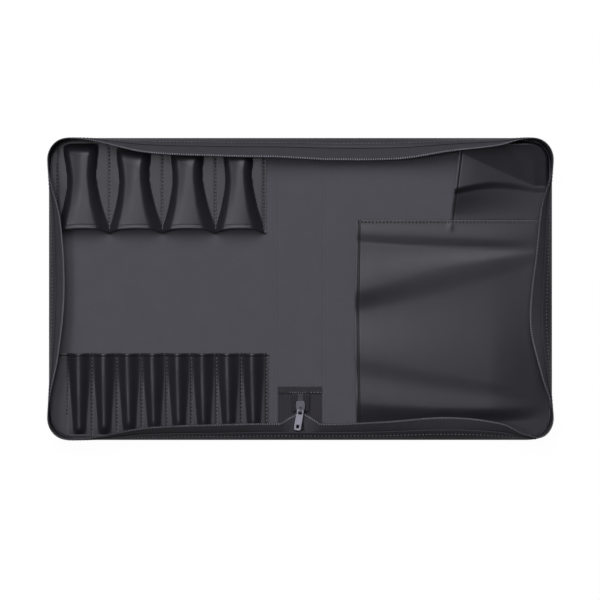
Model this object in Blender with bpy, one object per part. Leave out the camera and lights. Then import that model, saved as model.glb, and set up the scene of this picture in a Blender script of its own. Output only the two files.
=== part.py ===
"""A zip-round artist's portfolio case in black leatherette, lying open on its back.

Frame: +Z is up. X runs across the open case, from the left cover over the spine to the
right cover, and Y runs up the page. The origin is at the middle of the case, on the
surface that the case lies on. All lengths are in metres.

Each cover folds up about a line along Y beside the spine. The walls that carry the zip
lean inwards over the lining, as slack leatherette and tape do when the case lies open.
"""

import math

import bmesh
import bpy
from mathutils import Matrix, Vector

# ---- Driving dimensions ----------------------------------------------------------

# Plan of the open case
CASE_HEIGHT = 0.320
COVER_WIDTH = 0.2395  # from the fold line to the outer edge
SPINE_WIDTH = 0.054  # between the two fold lines
CORNER_RADIUS = 0.026

# Layers of each panel, from the table up
SKIN_THICKNESS = 0.0010
BOARD_THICKNESS = 0.0020
LINING_THICKNESS = 0.0008
SEAT_GAP = 0.0003  # left between pieces that touch
BOARD_INSET = 0.0045  # from the outline to the board's edge
LINING_INSET = 0.0040
FOLD_CLEARANCE = 0.0006  # left beside a fold line when the case is shut

# Zip wall: a leatherette strip with the zip tape sewn inside its upper edge
WALL_HEIGHT = 0.0275  # of the teeth above the table at a corner, where the wall stands up
WALL_SLACK = 0.0018  # how much longer the wall's chord is where it leans
WALL_INSET = 0.0012
WALL_FLARE = 0.0010  # how far the wall leans out at a corner
GUSSET_THICKNESS = 0.0010
GUSSET_SHARE = 0.60  # of the wall's curve, from its foot
TAPE_THICKNESS = 0.0006
TAPE_LAP = 0.10  # of the wall's curve, which the tape runs down behind the strip
TOOTH_REACH = 0.0026
TOOTH_HEIGHT = 0.0020
BOTTOM_DROOP = 0.30  # how much lower the wall is beside the slider than its length allows
MITRE_CLEARANCE = 0.0025  # between a cover's wall and the spine's wall when shut
SPINE_WALL_HALF = 0.0210  # half the length of the spine's own wall

# Lean of the teeth over the lining, as (share of the run, lean). A run across a cover
# starts at its corner and ends at its fold line. A side runs from bottom to top.
LEFT_TOP_LEAN = ((0.0, 0.001), (0.36, 0.016), (0.72, 0.020), (1.0, 0.021))
LEFT_BOTTOM_LEAN = ((0.0, 0.001), (0.36, 0.0135), (0.72, 0.017), (1.0, 0.018))
LEFT_SIDE_LEAN = ((0.0, 0.0), (0.235, 0.0115), (0.49, 0.018), (0.776, 0.0135), (1.0, 0.0))
RIGHT_TOP_LEAN = ((0.0, 0.001), (0.157, 0.009), (0.39, 0.015), (0.635, 0.023), (1.0, 0.024))
RIGHT_BOTTOM_LEAN = ((0.0, 0.006), (0.13, 0.018), (0.39, 0.0245), (0.72, 0.020), (1.0, 0.0175))
RIGHT_SIDE_LEAN = ((0.0, 0.0), (0.157, 0.0125), (0.366, 0.0245), (0.67, 0.0175), (0.83, 0.0125), (1.0, 0.0))

# Pockets, all of one sheet thickness
SHEET_THICKNESS = 0.0010
POCKET_INSET = 0.0065  # of a pocket's sewn edge from the outline
TOOL_COUNT = 4
TOOL_STRIP_END = 0.0117  # the last seam's distance from the fold line
TOOL_WIDTH = 0.0562
TOOL_LAST_WIDTH = 0.0510
TOOL_LENGTH = 0.1003  # of its sheet at a seam, and from the case's upper edge
TOOL_RISE = 0.0135
TOOL_DRAWBACK = 0.0065  # how far a raised mouth draws back from the seams' ends
# The flat valleys beside a tool pocket's seams, as (share of its length, share of half its width)
TOOL_LEFT_VALLEY = ((0.0, 0.26), (0.42, 0.40), (0.67, 0.31), (0.90, 0.15), (1.0, 0.05))
TOOL_RIGHT_VALLEY = ((0.0, 0.42), (0.39, 0.51), (0.67, 0.36), (0.90, 0.17), (1.0, 0.05))
# At its sewn end and at its mouth: the steep run beside each valley, the height that the left
# one reaches, and the place of the crest between them
TOOL_LEFT_RUN = (0.16, 0.36)
TOOL_RIGHT_RUN = (0.24, 0.44)
TOOL_LEFT_SHOULDER = (0.55, 0.90)
TOOL_CREST = (-0.20, 0.08)
TOOL_SWELL = 0.24  # share of its length in which it rises from the sewn end
TOOL_SETTLED = 0.92  # its height past the swell, as a share of the mouth's
SLEEVE_COUNT = 8
SLEEVE_STRIP_END = 0.0091
SLEEVE_WIDTH = 0.02634
SLEEVE_LENGTH = 0.0917  # the same, from the case's lower edge
SLEEVE_RISE = 0.0085
SLEEVE_DRAWBACK = 0.0010
SLEEVE_VALLEY = (0.40, 0.06)  # at the sewn end and at the mouth
SLEEVE_CROWN = (0.30, 0.12)
SLEEVE_SWELL = 0.20
SEAM_MARGIN = 0.0025  # of sheet past a strip's last seam
LARGE_POCKET_X = 0.0584  # its mouth, a turned hem
LARGE_POCKET_DROP = 0.0870  # of its top from the case's upper edge
# The large pocket's crests and valleys from its top down, each at its mouth, half way along
# and at its far side: the share of its height where it lies, and how far it stands up
LARGE_POCKET_FOLDS = (
    ((0.985, 0.985, 0.985), (0.0, 0.0, 0.0)),
    ((0.960, 0.943, 0.921), (0.0022, 0.0018, 0.0012)),
    ((0.925, 0.881, 0.865), (0.0019, 0.0010, 0.0002)),
    ((0.704, 0.784, 0.845), (0.0074, 0.0060, 0.0026)),
    ((0.611, 0.713, 0.815), (0.0056, 0.0050, 0.0020)),
    ((0.422, 0.466, 0.501), (0.0084, 0.0072, 0.0036)),
    ((0.311, 0.258, 0.183), (0.0067, 0.0060, 0.0032)),
    ((0.210, 0.166, 0.130), (0.0076, 0.0070, 0.0052)),
    ((0.033, 0.051, 0.064), (0.0006, 0.0003, 0.0003)),
    ((0.0155, 0.0155, 0.0155), (0.0, 0.0, 0.0)),
)
LARGE_POCKET_FADE = 0.062  # of its far side, in which it comes down to its seam
HEM_WIDTH = 0.0040
HEM_STEP = 0.0005
SMALL_POCKET_X = 0.1585  # its mouth at the bottom
SMALL_POCKET_SLANT = 0.0090  # how far the mouth's top end lies to the right of that
SMALL_POCKET_RISE = 0.0072
SMALL_POCKET_RIDGE = (0.880, 0.443)  # shares of its height, at the mouth and near the far side
SMALL_POCKET_BRINK = (0.405, 0.430)  # where the facet below the ridge ends
SMALL_POCKET_BOW = 0.081  # how much higher than that it ends half way along
SMALL_POCKET_SWELL = 0.0050  # of the sheet between the ridge and the round corner

# Zip end on the spine
PATCH_WIDTH = 0.0450
PATCH_RISE = 0.0563  # of its upper edge from the case's lower edge
PATCH_FOOT = 0.0100  # of its lower edge from there
PATCH_THICKNESS = 0.0008
PATCH_HEM = 0.0068
SLIDER_SETBACK = 0.0290  # of its nose from the case's lower edge
SLIDER_LENGTH = 0.0125
SLIDER_WIDTH = 0.0099
SLIDER_REAR_WIDTH = 0.0088
PLATE_THICKNESS = 0.0010
CHANNEL_HEIGHT = 0.0026
FLANGE_WIDTH = 0.0009
TAPE_SLOT = 0.0013
WEDGE_LENGTH = 0.0040
WEDGE_WIDTH = 0.0028
SLIDER_TRAVEL = 0.0055
BRIDGE_WIDTH = 0.0024
BRIDGE_LENGTH = 0.0056
BRIDGE_HEIGHT = 0.0034  # of its outside above the plate
BRIDGE_BAR = 0.0011
PULL_LENGTH = 0.0215
PULL_WIDTH = 0.0076
PULL_HEAD_WIDTH = 0.0072
PULL_THICKNESS = 0.0012
PULL_EYE_LENGTH = 0.0037
PULL_EYE_WIDTH = 0.0044
PULL_SLANT = 10.0  # degrees that the pull hangs askew, to the left
PULL_SLOT_LENGTH = 0.0038
CHAIN_WIDTH = 0.0056
STOP_LENGTH = 0.0024
END_TEETH_START = 0.22  # along each row of teeth that runs into the slider

# ---- Sizes that follow ----------------------------------------------------------

HALF_HEIGHT = CASE_HEIGHT / 2
HALF_SPINE = SPINE_WIDTH / 2
HALF_WIDTH = HALF_SPINE + COVER_WIDTH
SKIN_TOP = SKIN_THICKNESS
BOARD_BOTTOM = SKIN_TOP + SEAT_GAP
BOARD_TOP = BOARD_BOTTOM + BOARD_THICKNESS
LINING_BOTTOM = BOARD_TOP + SEAT_GAP
LINING_TOP = LINING_BOTTOM + LINING_THICKNESS
FOLD_Z = SKIN_TOP  # the covers turn about the skin's inner face
FOLD_GROOVE = LINING_TOP - FOLD_Z + FOLD_CLEARANCE
SHEET_TOP = LINING_TOP + SEAT_GAP + SHEET_THICKNESS
WALL_FOOT_Z = SKIN_TOP + SEAT_GAP
WALL_CHORD = WALL_HEIGHT - WALL_FOOT_Z
TAPE_OFFSET = -(GUSSET_THICKNESS + TAPE_THICKNESS) / 2 - 1.6 * SEAT_GAP
PATCH_BASE = LINING_TOP + SEAT_GAP
PATCH_TOP = PATCH_BASE + PATCH_THICKNESS
SLIDER_BASE = PATCH_TOP + SEAT_GAP
CHANNEL_FLOOR = SLIDER_BASE + PLATE_THICKNESS
CHANNEL_TOP = CHANNEL_FLOOR + CHANNEL_HEIGHT
CHANNEL_MIDDLE = (CHANNEL_FLOOR + CHANNEL_TOP) / 2
SLIDER_TOP = CHANNEL_TOP + PLATE_THICKNESS
TOOL_MOUTH_Y = HALF_HEIGHT - TOOL_LENGTH
SLEEVE_MOUTH_Y = -HALF_HEIGHT + SLEEVE_LENGTH
LARGE_POCKET_TOP = HALF_HEIGHT - LARGE_POCKET_DROP
PATCH_TOP_Y = -HALF_HEIGHT + PATCH_RISE
PATCH_BOTTOM_Y = -HALF_HEIGHT + PATCH_FOOT
SLIDER_FRONT_Y = -HALF_HEIGHT + SLIDER_SETBACK
SLIDER_REAR_Y = SLIDER_FRONT_Y + SLIDER_LENGTH
LEFT, RIGHT = -1, 1


# ---- Blender helpers ------------------------------------------------------------


def clear_scene():
    for old in list(bpy.data.objects):
        bpy.data.objects.remove(old)


def make_material(name, colour, roughness, metallic=0.0):
    material = bpy.data.materials.new(name)
    material.use_nodes = True
    shader = material.node_tree.nodes["Principled BSDF"]
    shader.inputs["Base Color"].default_value = (*colour, 1.0)
    shader.inputs["Roughness"].default_value = roughness
    shader.inputs["Metallic"].default_value = metallic
    return material


def add_mesh(name, points, faces, material, smooth_angle=None):
    mesh = bpy.data.meshes.new(name)
    mesh.from_pydata(points, [], faces)
    work = bmesh.new()
    work.from_mesh(mesh)
    bmesh.ops.recalc_face_normals(work, faces=work.faces)
    work.to_mesh(mesh)
    work.free()
    if smooth_angle is not None:
        mesh.shade_smooth()
        mesh.set_sharp_from_angle(angle=math.radians(smooth_angle))
    mesh.materials.append(material)
    made = bpy.data.objects.new(name, mesh)
    bpy.context.scene.collection.objects.link(made)
    return made


def plate(name, outline, bottom, top, material, bevel=0.0):
    """An upright prism over a plan outline, with its upper rim rounded if it is asked for."""
    count = len(outline)
    points = [(x, y, bottom) for x, y in outline] + [(x, y, top) for x, y in outline]
    faces = [tuple(range(count)), tuple(range(count, 2 * count))]
    faces += [(i, (i + 1) % count, count + (i + 1) % count, count + i) for i in range(count)]
    made = add_mesh(name, points, faces, material)
    if bevel:
        rounding = made.modifiers.new("rounded rim", "BEVEL")
        rounding.width = bevel
        rounding.segments = 2
        rounding.limit_method = "ANGLE"
        rounding.angle_limit = math.radians(60)
    return made


def ribbon(name, sections, material, smooth_angle=40):
    """A closed solid through a row of closed sections of equal length."""
    count = len(sections[0])
    points = [p for section in sections for p in section]
    faces = []
    for k in range(len(sections) - 1):
        for i in range(count):
            j = (i + 1) % count
            faces.append((k * count + i, k * count + j, (k + 1) * count + j, (k + 1) * count + i))
    faces += strip_cap(0, count) + strip_cap((len(sections) - 1) * count, count)
    return add_mesh(name, points, faces, material, smooth_angle)


def strip_cap(first, count):
    """Quads that close a section whose two halves face each other, as a sheet's end does."""
    last = first + count - 1
    return [(first + i, first + i + 1, last - i - 1, last - i) for i in range(count // 2 - 1)]


def sheet(name, columns, rows, surface, material):
    """A sheet SHEET_THICKNESS thick, below the surface that surface(i, j) gives."""
    points = [surface(i, j) for j in range(rows + 1) for i in range(columns + 1)]
    wide = columns + 1
    faces = [
        (j * wide + i, j * wide + i + 1, (j + 1) * wide + i + 1, (j + 1) * wide + i)
        for j in range(rows)
        for i in range(columns)
    ]
    made = add_mesh(name, points, faces, material, 60)
    if made.data.polygons[0].normal.z < 0:
        made.data.flip_normals()
    thicken = made.modifiers.new("sheet thickness", "SOLIDIFY")
    thicken.thickness = SHEET_THICKNESS
    thicken.offset = -1
    thicken.use_even_offset = True
    return made


def cut(target, cutter):
    cutter.hide_render = True
    cutter.display_type = "WIRE"
    change = target.modifiers.new("cut " + cutter.name, "BOOLEAN")
    change.operation = "DIFFERENCE"
    change.object = cutter


def block(name, low, high, material):
    outline = [(low[0], low[1]), (high[0], low[1]), (high[0], high[1]), (low[0], high[1])]
    return plate(name, outline, low[2], high[2], material)


# ---- Shape functions ------------------------------------------------------------


def smoothstep(value):
    value = min(1.0, max(0.0, value))
    return value * value * (3 - 2 * value)


def mix(a, b, share):
    return a + (b - a) * share


def through(stops, share):
    """A smooth curve through (share, value) stops, level at both ends."""
    share = min(stops[-1][0], max(stops[0][0], share))
    slopes = [0.0]
    for k in range(1, len(stops) - 1):
        slopes.append((stops[k + 1][1] - stops[k - 1][1]) / (stops[k + 1][0] - stops[k - 1][0]))
    slopes.append(0.0)
    for k in range(len(stops) - 1):
        (a, value_a), (b, value_b) = stops[k], stops[k + 1]
        if share <= b:
            span = b - a
            t = (share - a) / span
            return (
                (2 * t**3 - 3 * t**2 + 1) * value_a
                + (t**3 - 2 * t**2 + t) * span * slopes[k]
                + (3 * t**2 - 2 * t**3) * value_b
                + (t**3 - t**2) * span * slopes[k + 1]
            )
    return stops[-1][1]


def cover_outline(side, inset, fold_gap):
    """A cover's plan: square at the fold line, round at its two outer corners."""
    near = side * (HALF_SPINE + fold_gap)
    far_centre = side * (HALF_WIDTH - CORNER_RADIUS)
    radius = CORNER_RADIUS - inset
    centre_y = HALF_HEIGHT - CORNER_RADIUS
    steps = 6
    outline = [(near, -HALF_HEIGHT + inset)]
    for corner_y, first in ((-centre_y, -90), (centre_y, 0)):
        for k in range(steps + 1):
            angle = math.radians(first + 90 * k / steps)
            x = far_centre + side * radius * math.cos(angle)
            outline.append((x, corner_y + radius * math.sin(angle)))
    outline.append((near, HALF_HEIGHT - inset))
    return outline


def spine_outline(inset, fold_gap):
    x = HALF_SPINE - fold_gap
    y = HALF_HEIGHT - inset
    return [(-x, -y), (x, -y), (x, y), (-x, y)]


# ---- The zip wall ---------------------------------------------------------------


class Station:
    """A place on the outline, with the wall's cross-section there."""

    def __init__(self, place, inward, lean, fold_distance, droop=0.0):
        self.place = place
        self.inward = inward
        self.fold_distance = fold_distance  # None where the wall is never cut back
        chord = WALL_CHORD + WALL_SLACK * smoothstep(lean / 0.010)
        reach = lean - WALL_INSET
        rise = math.sqrt(chord**2 - reach**2) * (1 - droop)
        self.foot = (WALL_INSET, WALL_FOOT_Z)
        self.top = (lean, WALL_FOOT_Z + rise)
        self.bend = (WALL_INSET + 0.05 * reach - 0.0004, WALL_FOOT_Z + 0.56 * rise)

    def curve(self, share):
        a, b, c = (1 - share) ** 2, 2 * share * (1 - share), share**2
        return tuple(a * f + b * m + c * t for f, m, t in zip(self.foot, self.bend, self.top))

    def normal(self, share):
        """The outward unit normal of the wall's curve."""
        n = 2 * (1 - share) * (self.bend[0] - self.foot[0]) + 2 * share * (self.top[0] - self.bend[0])
        z = 2 * (1 - share) * (self.bend[1] - self.foot[1]) + 2 * share * (self.top[1] - self.bend[1])
        size = math.hypot(n, z)
        return (-z / size, n / size)

    def share_at(self, height):
        """The share of the curve at which it reaches a height."""
        low, high = 0.0, 1.0
        for _ in range(24):
            middle = (low + high) / 2
            if self.curve(middle)[1] < height:
                low = middle
            else:
                high = middle
        return high

    def world(self, point):
        n, z = point
        return (self.place[0] + self.inward[0] * n, self.place[1] + self.inward[1] * n, z)

    def offset_point(self, share, distance):
        n, z = self.curve(share)
        out_n, out_z = self.normal(share)
        return self.world((n + out_n * distance, z + out_z * distance))

    def tape_end(self):
        """The share of the curve at which the tape ends and the teeth begin."""
        speed = 2 * math.hypot(self.top[0] - self.bend[0], self.top[1] - self.bend[1])
        return 1 - (TOOTH_REACH + SEAT_GAP) / speed

    def tooth_root(self):
        speed = 2 * math.hypot(self.top[0] - self.bend[0], self.top[1] - self.bend[1])
        return 1 - TOOTH_REACH / speed

    def mitre(self):
        """The share of the curve that a cover's wall keeps this close to the fold line."""
        if self.fold_distance is None:
            return 1.0
        return self.share_at(FOLD_Z + self.fold_distance - MITRE_CLEARANCE)


def wall_section(station, shares, offset, thickness):
    """A closed section of wall through a few shares of its curve."""
    outer = [station.offset_point(s, offset + thickness / 2) for s in shares]
    inner = [station.offset_point(s, offset - thickness / 2) for s in reversed(shares)]
    return outer + inner


def run_share(x):
    """How far along a cover's straight top or bottom run a place is, from corner to fold line."""
    return (HALF_WIDTH - CORNER_RADIUS - abs(x)) / (COVER_WIDTH - CORNER_RADIUS)


def straight_station(side, end, x, leans, droop):
    """A station on the top (end 1) or bottom (end -1) run of a cover."""
    share = run_share(x)
    local_droop = droop * smoothstep((share - 0.75) / 0.25)
    distance = abs(x) - HALF_SPINE
    fold = distance if distance < 2 * WALL_HEIGHT else None
    return Station((x, end * HALF_HEIGHT), (0, -end), through(leans, share), fold, local_droop)


def cover_stations(side, bottom_leans, side_leans, top_leans, first_distance, steps):
    """Stations from the bottom fold line, round the cover's outer edge, to the top one."""
    corner_x = HALF_WIDTH - CORNER_RADIUS
    corner_y = HALF_HEIGHT - CORNER_RADIUS
    stations = []
    near_fold = [first_distance + k * 0.006 for k in range(5)]
    far = [mix(near_fold[-1], COVER_WIDTH - CORNER_RADIUS, k / steps) for k in range(1, steps + 1)]
    distances = near_fold + far
    for distance in distances:
        x = side * (HALF_SPINE + distance)
        stations.append(straight_station(side, -1, x, bottom_leans, BOTTOM_DROOP))
    arc_steps = 6
    for k in range(1, arc_steps):
        stations.append(corner_station(side, -1, k / arc_steps, bottom_leans[0][1], side_leans[0][1]))
    for k in range(steps + 1):
        y = mix(-corner_y, corner_y, k / steps)
        place = (side * HALF_WIDTH, y)
        stations.append(Station(place, (-side, 0), through(side_leans, k / steps), None))
    for k in range(arc_steps - 1, 0, -1):
        stations.append(corner_station(side, 1, k / arc_steps, top_leans[0][1], side_leans[-1][1]))
    for distance in reversed(distances):
        stations.append(straight_station(side, 1, side * (HALF_SPINE + distance), top_leans, 0.0))
    return stations


def corner_station(side, end, share, run_lean, side_lean):
    """A station on a round corner; share runs from the straight run (0) to the side (1)."""
    angle = math.radians(90 * share)
    out = (side * math.sin(angle), end * math.cos(angle))
    centre = (side * (HALF_WIDTH - CORNER_RADIUS), end * (HALF_HEIGHT - CORNER_RADIUS))
    place = (centre[0] + CORNER_RADIUS * out[0], centre[1] + CORNER_RADIUS * out[1])
    start = run_lean * (1 - min(1.0, 2 * share)) ** 2
    finish = side_lean * (1 - min(1.0, 2 * (1 - share))) ** 2
    lean = start + finish - WALL_FLARE * math.sin(math.pi * share)
    return Station(place, (-out[0], -out[1]), lean, None)


def evenly(low, high, steps):
    return [mix(low, high, k / steps) for k in range(steps + 1)]


def gusset(name, stations, material):
    """The strip has a corner where the tape starts, so that the two follow the same curve."""
    sections = []
    lap = GUSSET_SHARE - TAPE_LAP
    for station in stations:
        high = min(GUSSET_SHARE, station.mitre())
        shares = evenly(0.0, lap, 2) + [high] if high > lap + 0.02 else evenly(0.0, high, 3)
        sections.append(wall_section(station, shares, 0.0, GUSSET_THICKNESS))
    return ribbon(name, sections, material)


def zip_tape(name, stations, material):
    low = GUSSET_SHARE - TAPE_LAP
    sections = []
    for station in stations:
        high = min(station.tape_end(), station.mitre())
        if high > GUSSET_SHARE:
            shares = [low] + evenly(GUSSET_SHARE, high, 2)
            sections.append(wall_section(station, shares, TAPE_OFFSET, TAPE_THICKNESS))
    return ribbon(name, sections, material)


def zip_teeth(name, stations, material):
    sections = []
    for station in stations:
        if station.mitre() > 0.999:
            sections.append(wall_section(station, [station.tooth_root(), 1.0], TAPE_OFFSET, TOOTH_HEIGHT))
    return ribbon(name, sections, material)


def spine_station(end, x):
    """A station on the spine's own wall, which carries on from the covers' walls."""
    share = (x + HALF_SPINE) / SPINE_WIDTH
    if end > 0:
        lean = mix(LEFT_TOP_LEAN[-1][1], RIGHT_TOP_LEAN[-1][1], share)
        return Station((x, HALF_HEIGHT), (0, -1), lean, None)
    lean = mix(LEFT_BOTTOM_LEAN[-1][1], RIGHT_BOTTOM_LEAN[-1][1], share)
    return Station((x, -HALF_HEIGHT), (0, 1), lean, None, BOTTOM_DROOP)


def fold_web(name, side, end, leans, droop, material):
    """The slack wall that crosses a fold line, from the cover's mitre to the spine's wall."""
    sections = []
    top = straight_station(side, end, side * HALF_SPINE, leans, droop).top[1]
    reach = top - FOLD_Z + MITRE_CLEARANCE
    steps = 6
    for k in range(steps + 1):
        distance = mix(-(HALF_SPINE - SPINE_WALL_HALF - SEAT_GAP), reach - SEAT_GAP, k / steps)
        x = side * (HALF_SPINE + distance)
        if distance <= 0:
            station = spine_station(end, x)
            low = 0.0
        else:
            station = straight_station(side, end, x, leans, droop)
            low = min(0.93, station.mitre() + 0.05)
        sections.append(wall_section(station, evenly(low, 0.985, 2), 0.0, GUSSET_THICKNESS))
    return ribbon(name, sections, material)


# ---- Pockets --------------------------------------------------------------------


def crown(across, edge, flat):
    """A pocket's cross-section: 0 at |across| = 1 and over the seam's valley, 1 on its crown."""
    inner = 1 - edge
    reach = min(1.0, abs(across) / inner)
    fall = max(0.0, (reach - flat) / (1 - flat))
    return 0.5 * (1 + math.cos(math.pi * fall))


def tool_height(across, along):
    """Height share of a tool pocket; along runs from its sewn end (0) to its mouth (1).

    across is -1 at the seam on its right and 1 at the seam on its left. The sheet climbs steeply
    beside each seam's valley, and on its left goes on climbing gently to the crest."""
    opened = smoothstep((along - 0.4) / 0.6)
    crest = mix(*TOOL_CREST, along)
    if across > crest:
        foot = 1 - through(TOOL_LEFT_VALLEY, along)
        run, shoulder = mix(*TOOL_LEFT_RUN, opened), mix(*TOOL_LEFT_SHOULDER, along)
        start = foot - 0.3 * run
        height = shoulder * smoothstep((foot - across) / run)
        height += (1 - shoulder) * smoothstep((start - across) / (start - crest))
    else:
        foot = 1 - through(TOOL_RIGHT_VALLEY, along)
        height = smoothstep((foot + across) / mix(*TOOL_RIGHT_RUN, opened))
    return height * smoothstep(along / TOOL_SWELL) * mix(TOOL_SETTLED, 1.0, along)


def sleeve_height(across, along):
    valley = mix(*SLEEVE_VALLEY, smoothstep(along))
    return crown(across, valley, mix(*SLEEVE_CROWN, along)) * smoothstep(along / SLEEVE_SWELL)


def sewn_edge(x):
    """How far from the middle a pocket's sewn edge lies; it follows the round corners."""
    radius = CORNER_RADIUS - POCKET_INSET
    past = abs(x) - (HALF_WIDTH - CORNER_RADIUS)
    if past <= 0:
        return HALF_HEIGHT - POCKET_INSET
    return HALF_HEIGHT - CORNER_RADIUS + math.sqrt(max(0.0, radius**2 - past**2))


def side_edge(y):
    """How far out a pocket's sewn side lies; it follows the round corners."""
    radius = CORNER_RADIUS - POCKET_INSET
    past = abs(y) - (HALF_HEIGHT - CORNER_RADIUS)
    if past <= 0:
        return HALF_WIDTH - POCKET_INSET
    return HALF_WIDTH - CORNER_RADIUS + math.sqrt(max(0.0, radius**2 - past**2))


def seam_strip(name, seams, acrosses, along_shares, end, mouth_y, rise, drawback, shape, material):
    """A strip of pockets between upright seams, raised between them by shape(across, along).

    Its sewn edge is at the top (end 1) or the bottom (end -1) of the left cover."""
    far_x = -(HALF_WIDTH - POCKET_INSET)
    places = [(seams[0] + SEAM_MARGIN, None)]
    for k in range(len(seams) - 1):
        for across in acrosses:
            places.append((mix(seams[k], seams[k + 1], (1 + across) / 2), across))
    places.append((seams[-1], -1.0))
    flat_steps = math.ceil(abs(far_x - seams[-1]) / 0.004)
    places += [(mix(seams[-1], far_x, (k + 1) / flat_steps), None) for k in range(flat_steps)]

    def surface(i, j):
        x, across = places[i]
        along = along_shares[j]
        lift = 0.0 if across is None else shape(across, along)
        y = mix(end * sewn_edge(x), mouth_y, along) + end * drawback * lift * along**3
        return (x, y, SHEET_TOP + rise * lift)

    return sheet(name, len(places) - 1, len(along_shares) - 1, surface, material)


def tool_seams():
    last = -(HALF_SPINE + TOOL_STRIP_END)
    seams = [last, last - TOOL_LAST_WIDTH]
    for _ in range(TOOL_COUNT - 2):
        seams.append(seams[-1] - TOOL_WIDTH)
    seams.append(-(HALF_WIDTH - POCKET_INSET - SEAM_MARGIN))
    return seams


def sleeve_seams():
    last = -(HALF_SPINE + SLEEVE_STRIP_END)
    return [last - k * SLEEVE_WIDTH for k in range(SLEEVE_COUNT + 1)]


def bowed(values, share):
    """A smooth curve through three values, at shares 0, 1/2 and 1."""
    first, middle, last = values
    return first + share * (4 * middle - 3 * first - last) + share**2 * 2 * (first + last - 2 * middle)


def large_pocket_lift(x, y):
    """Height of the large pocket above its flat seams: folds that draw together at its far side."""
    right = HALF_WIDTH - POCKET_INSET
    bottom = -HALF_HEIGHT + POCKET_INSET
    along = min(1.0, max(0.0, (x - LARGE_POCKET_X) / (right - LARGE_POCKET_X)))
    up = (y - bottom) / (LARGE_POCKET_TOP - bottom)
    for (upper, upper_height), (lower, lower_height) in zip(LARGE_POCKET_FOLDS, LARGE_POCKET_FOLDS[1:]):
        top, low = bowed(upper, along), bowed(lower, along)
        if low < up <= top:
            share = smoothstep((top - up) / (top - low))
            height = mix(bowed(upper_height, along), bowed(lower_height, along), share)
            return height * smoothstep((right - x) / LARGE_POCKET_FADE)
    return 0.0


def small_pocket_lift(across, x, y):
    """Height of the corner pocket: a slanting ridge, a facet below it, and a swell above it."""
    bottom = LARGE_POCKET_TOP + 2 * SEAT_GAP
    top = HALF_HEIGHT - POCKET_INSET
    reach = min(1.0, across / 0.84)
    ridge_y = mix(bottom, top, mix(*SMALL_POCKET_RIDGE, reach))
    brink_share = mix(*SMALL_POCKET_BRINK, reach) + SMALL_POCKET_BOW * math.sin(math.pi * reach)
    brink_y = min(ridge_y - 0.0005, mix(bottom, top, brink_share))
    ridge = SMALL_POCKET_RISE * (1 - 0.80 * smoothstep(across / 0.95))
    brink = ridge + 0.04 * (ridge_y - brink_y)
    side_room = smoothstep((side_edge(y) - x) / 0.009)
    if y >= ridge_y:
        room = smoothstep((sewn_edge(x) - y) / 0.009) * side_room
        swell = SMALL_POCKET_SWELL * room * smoothstep((y - ridge_y - 0.003) / 0.022)
        return ridge * (1 - smoothstep((y - ridge_y) / 0.008)) + swell
    if y >= brink_y:
        return mix(brink, ridge, (y - brink_y) / (ridge_y - brink_y)) * side_room
    drop = (brink_y - y) / (brink_y - bottom)
    return brink * (1 - 0.25 * smoothstep(drop / 0.16) - 0.75 * smoothstep(drop)) * side_room


def build_large_pocket(material):
    right = HALF_WIDTH - POCKET_INSET
    bottom = -HALF_HEIGHT + POCKET_INSET
    columns = [0.0, HEM_WIDTH, HEM_WIDTH + 0.0012]
    plain = 11
    columns += [mix(0.012, right - LARGE_POCKET_X, (k / (plain - 1))) for k in range(plain)]
    rows = 30

    def surface(i, j):
        y = mix(bottom, LARGE_POCKET_TOP, j / rows)
        edge = side_edge(y)
        x = LARGE_POCKET_X + columns[i] * (edge - LARGE_POCKET_X) / (right - LARGE_POCKET_X)
        hem = HEM_STEP if i <= 1 else 0.0
        return (x, y, SHEET_TOP + hem + large_pocket_lift(x, y))

    return sheet("large_pocket", len(columns) - 1, rows, surface, material)


def build_small_pocket(material):
    bottom = LARGE_POCKET_TOP + 2 * SEAT_GAP
    top = HALF_HEIGHT - POCKET_INSET
    shares = [0.0, 0.03, 0.045, 0.12, 0.23, 0.35, 0.47, 0.59, 0.70, 0.80, 0.89, 0.95, 1.0]
    rows = 22

    def surface(i, j):
        y = mix(bottom, top, j / rows)
        edge = side_edge(y)
        slant = min(1.0, (y - bottom) / (top - bottom) / SMALL_POCKET_RIDGE[0])
        mouth = SMALL_POCKET_X + SMALL_POCKET_SLANT * slant
        x = mix(mouth, edge, shares[i])
        hem = HEM_STEP if i <= 1 else 0.0
        return (x, y, SHEET_TOP + hem + small_pocket_lift(shares[i], x, y))

    return sheet("corner_pocket", len(shares) - 1, rows, surface, material)


# ---- Panels ---------------------------------------------------------------------


def build_cover_panels(side, label, skin, board, lining):
    plan = cover_outline(side, 0.0, SEAT_GAP / 2)
    plate(f"{label}_cover_skin", plan, 0.0, SKIN_TOP, skin)
    plan = cover_outline(side, BOARD_INSET, FOLD_GROOVE)
    plate(f"{label}_board", plan, BOARD_BOTTOM, BOARD_TOP, board)
    plan = cover_outline(side, LINING_INSET, FOLD_GROOVE)
    plate(f"{label}_lining", plan, LINING_BOTTOM, LINING_TOP, lining)


def build_spine_panels(skin, board, lining):
    plate("spine_skin", spine_outline(0.0, SEAT_GAP / 2), 0.0, SKIN_TOP, skin)
    plate("spine_board", spine_outline(BOARD_INSET, FOLD_GROOVE), BOARD_BOTTOM, BOARD_TOP, board)
    plate("spine_lining", spine_outline(LINING_INSET, FOLD_GROOVE), LINING_BOTTOM, LINING_TOP, lining)


def build_cover_wall(side, label, leans, skin, tape, metal):
    stations = cover_stations(side, *leans, MITRE_CLEARANCE + 0.002, 11)
    gusset(f"{label}_wall", stations, skin)
    zip_tape(f"{label}_zip_tape", stations, tape)
    zip_teeth(f"{label}_zip_teeth", stations, metal)
    fold_web(f"{label}_top_fold", side, 1, leans[2], 0.0, tape)
    fold_web(f"{label}_bottom_fold", side, -1, leans[0], BOTTOM_DROOP, tape)


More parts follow.
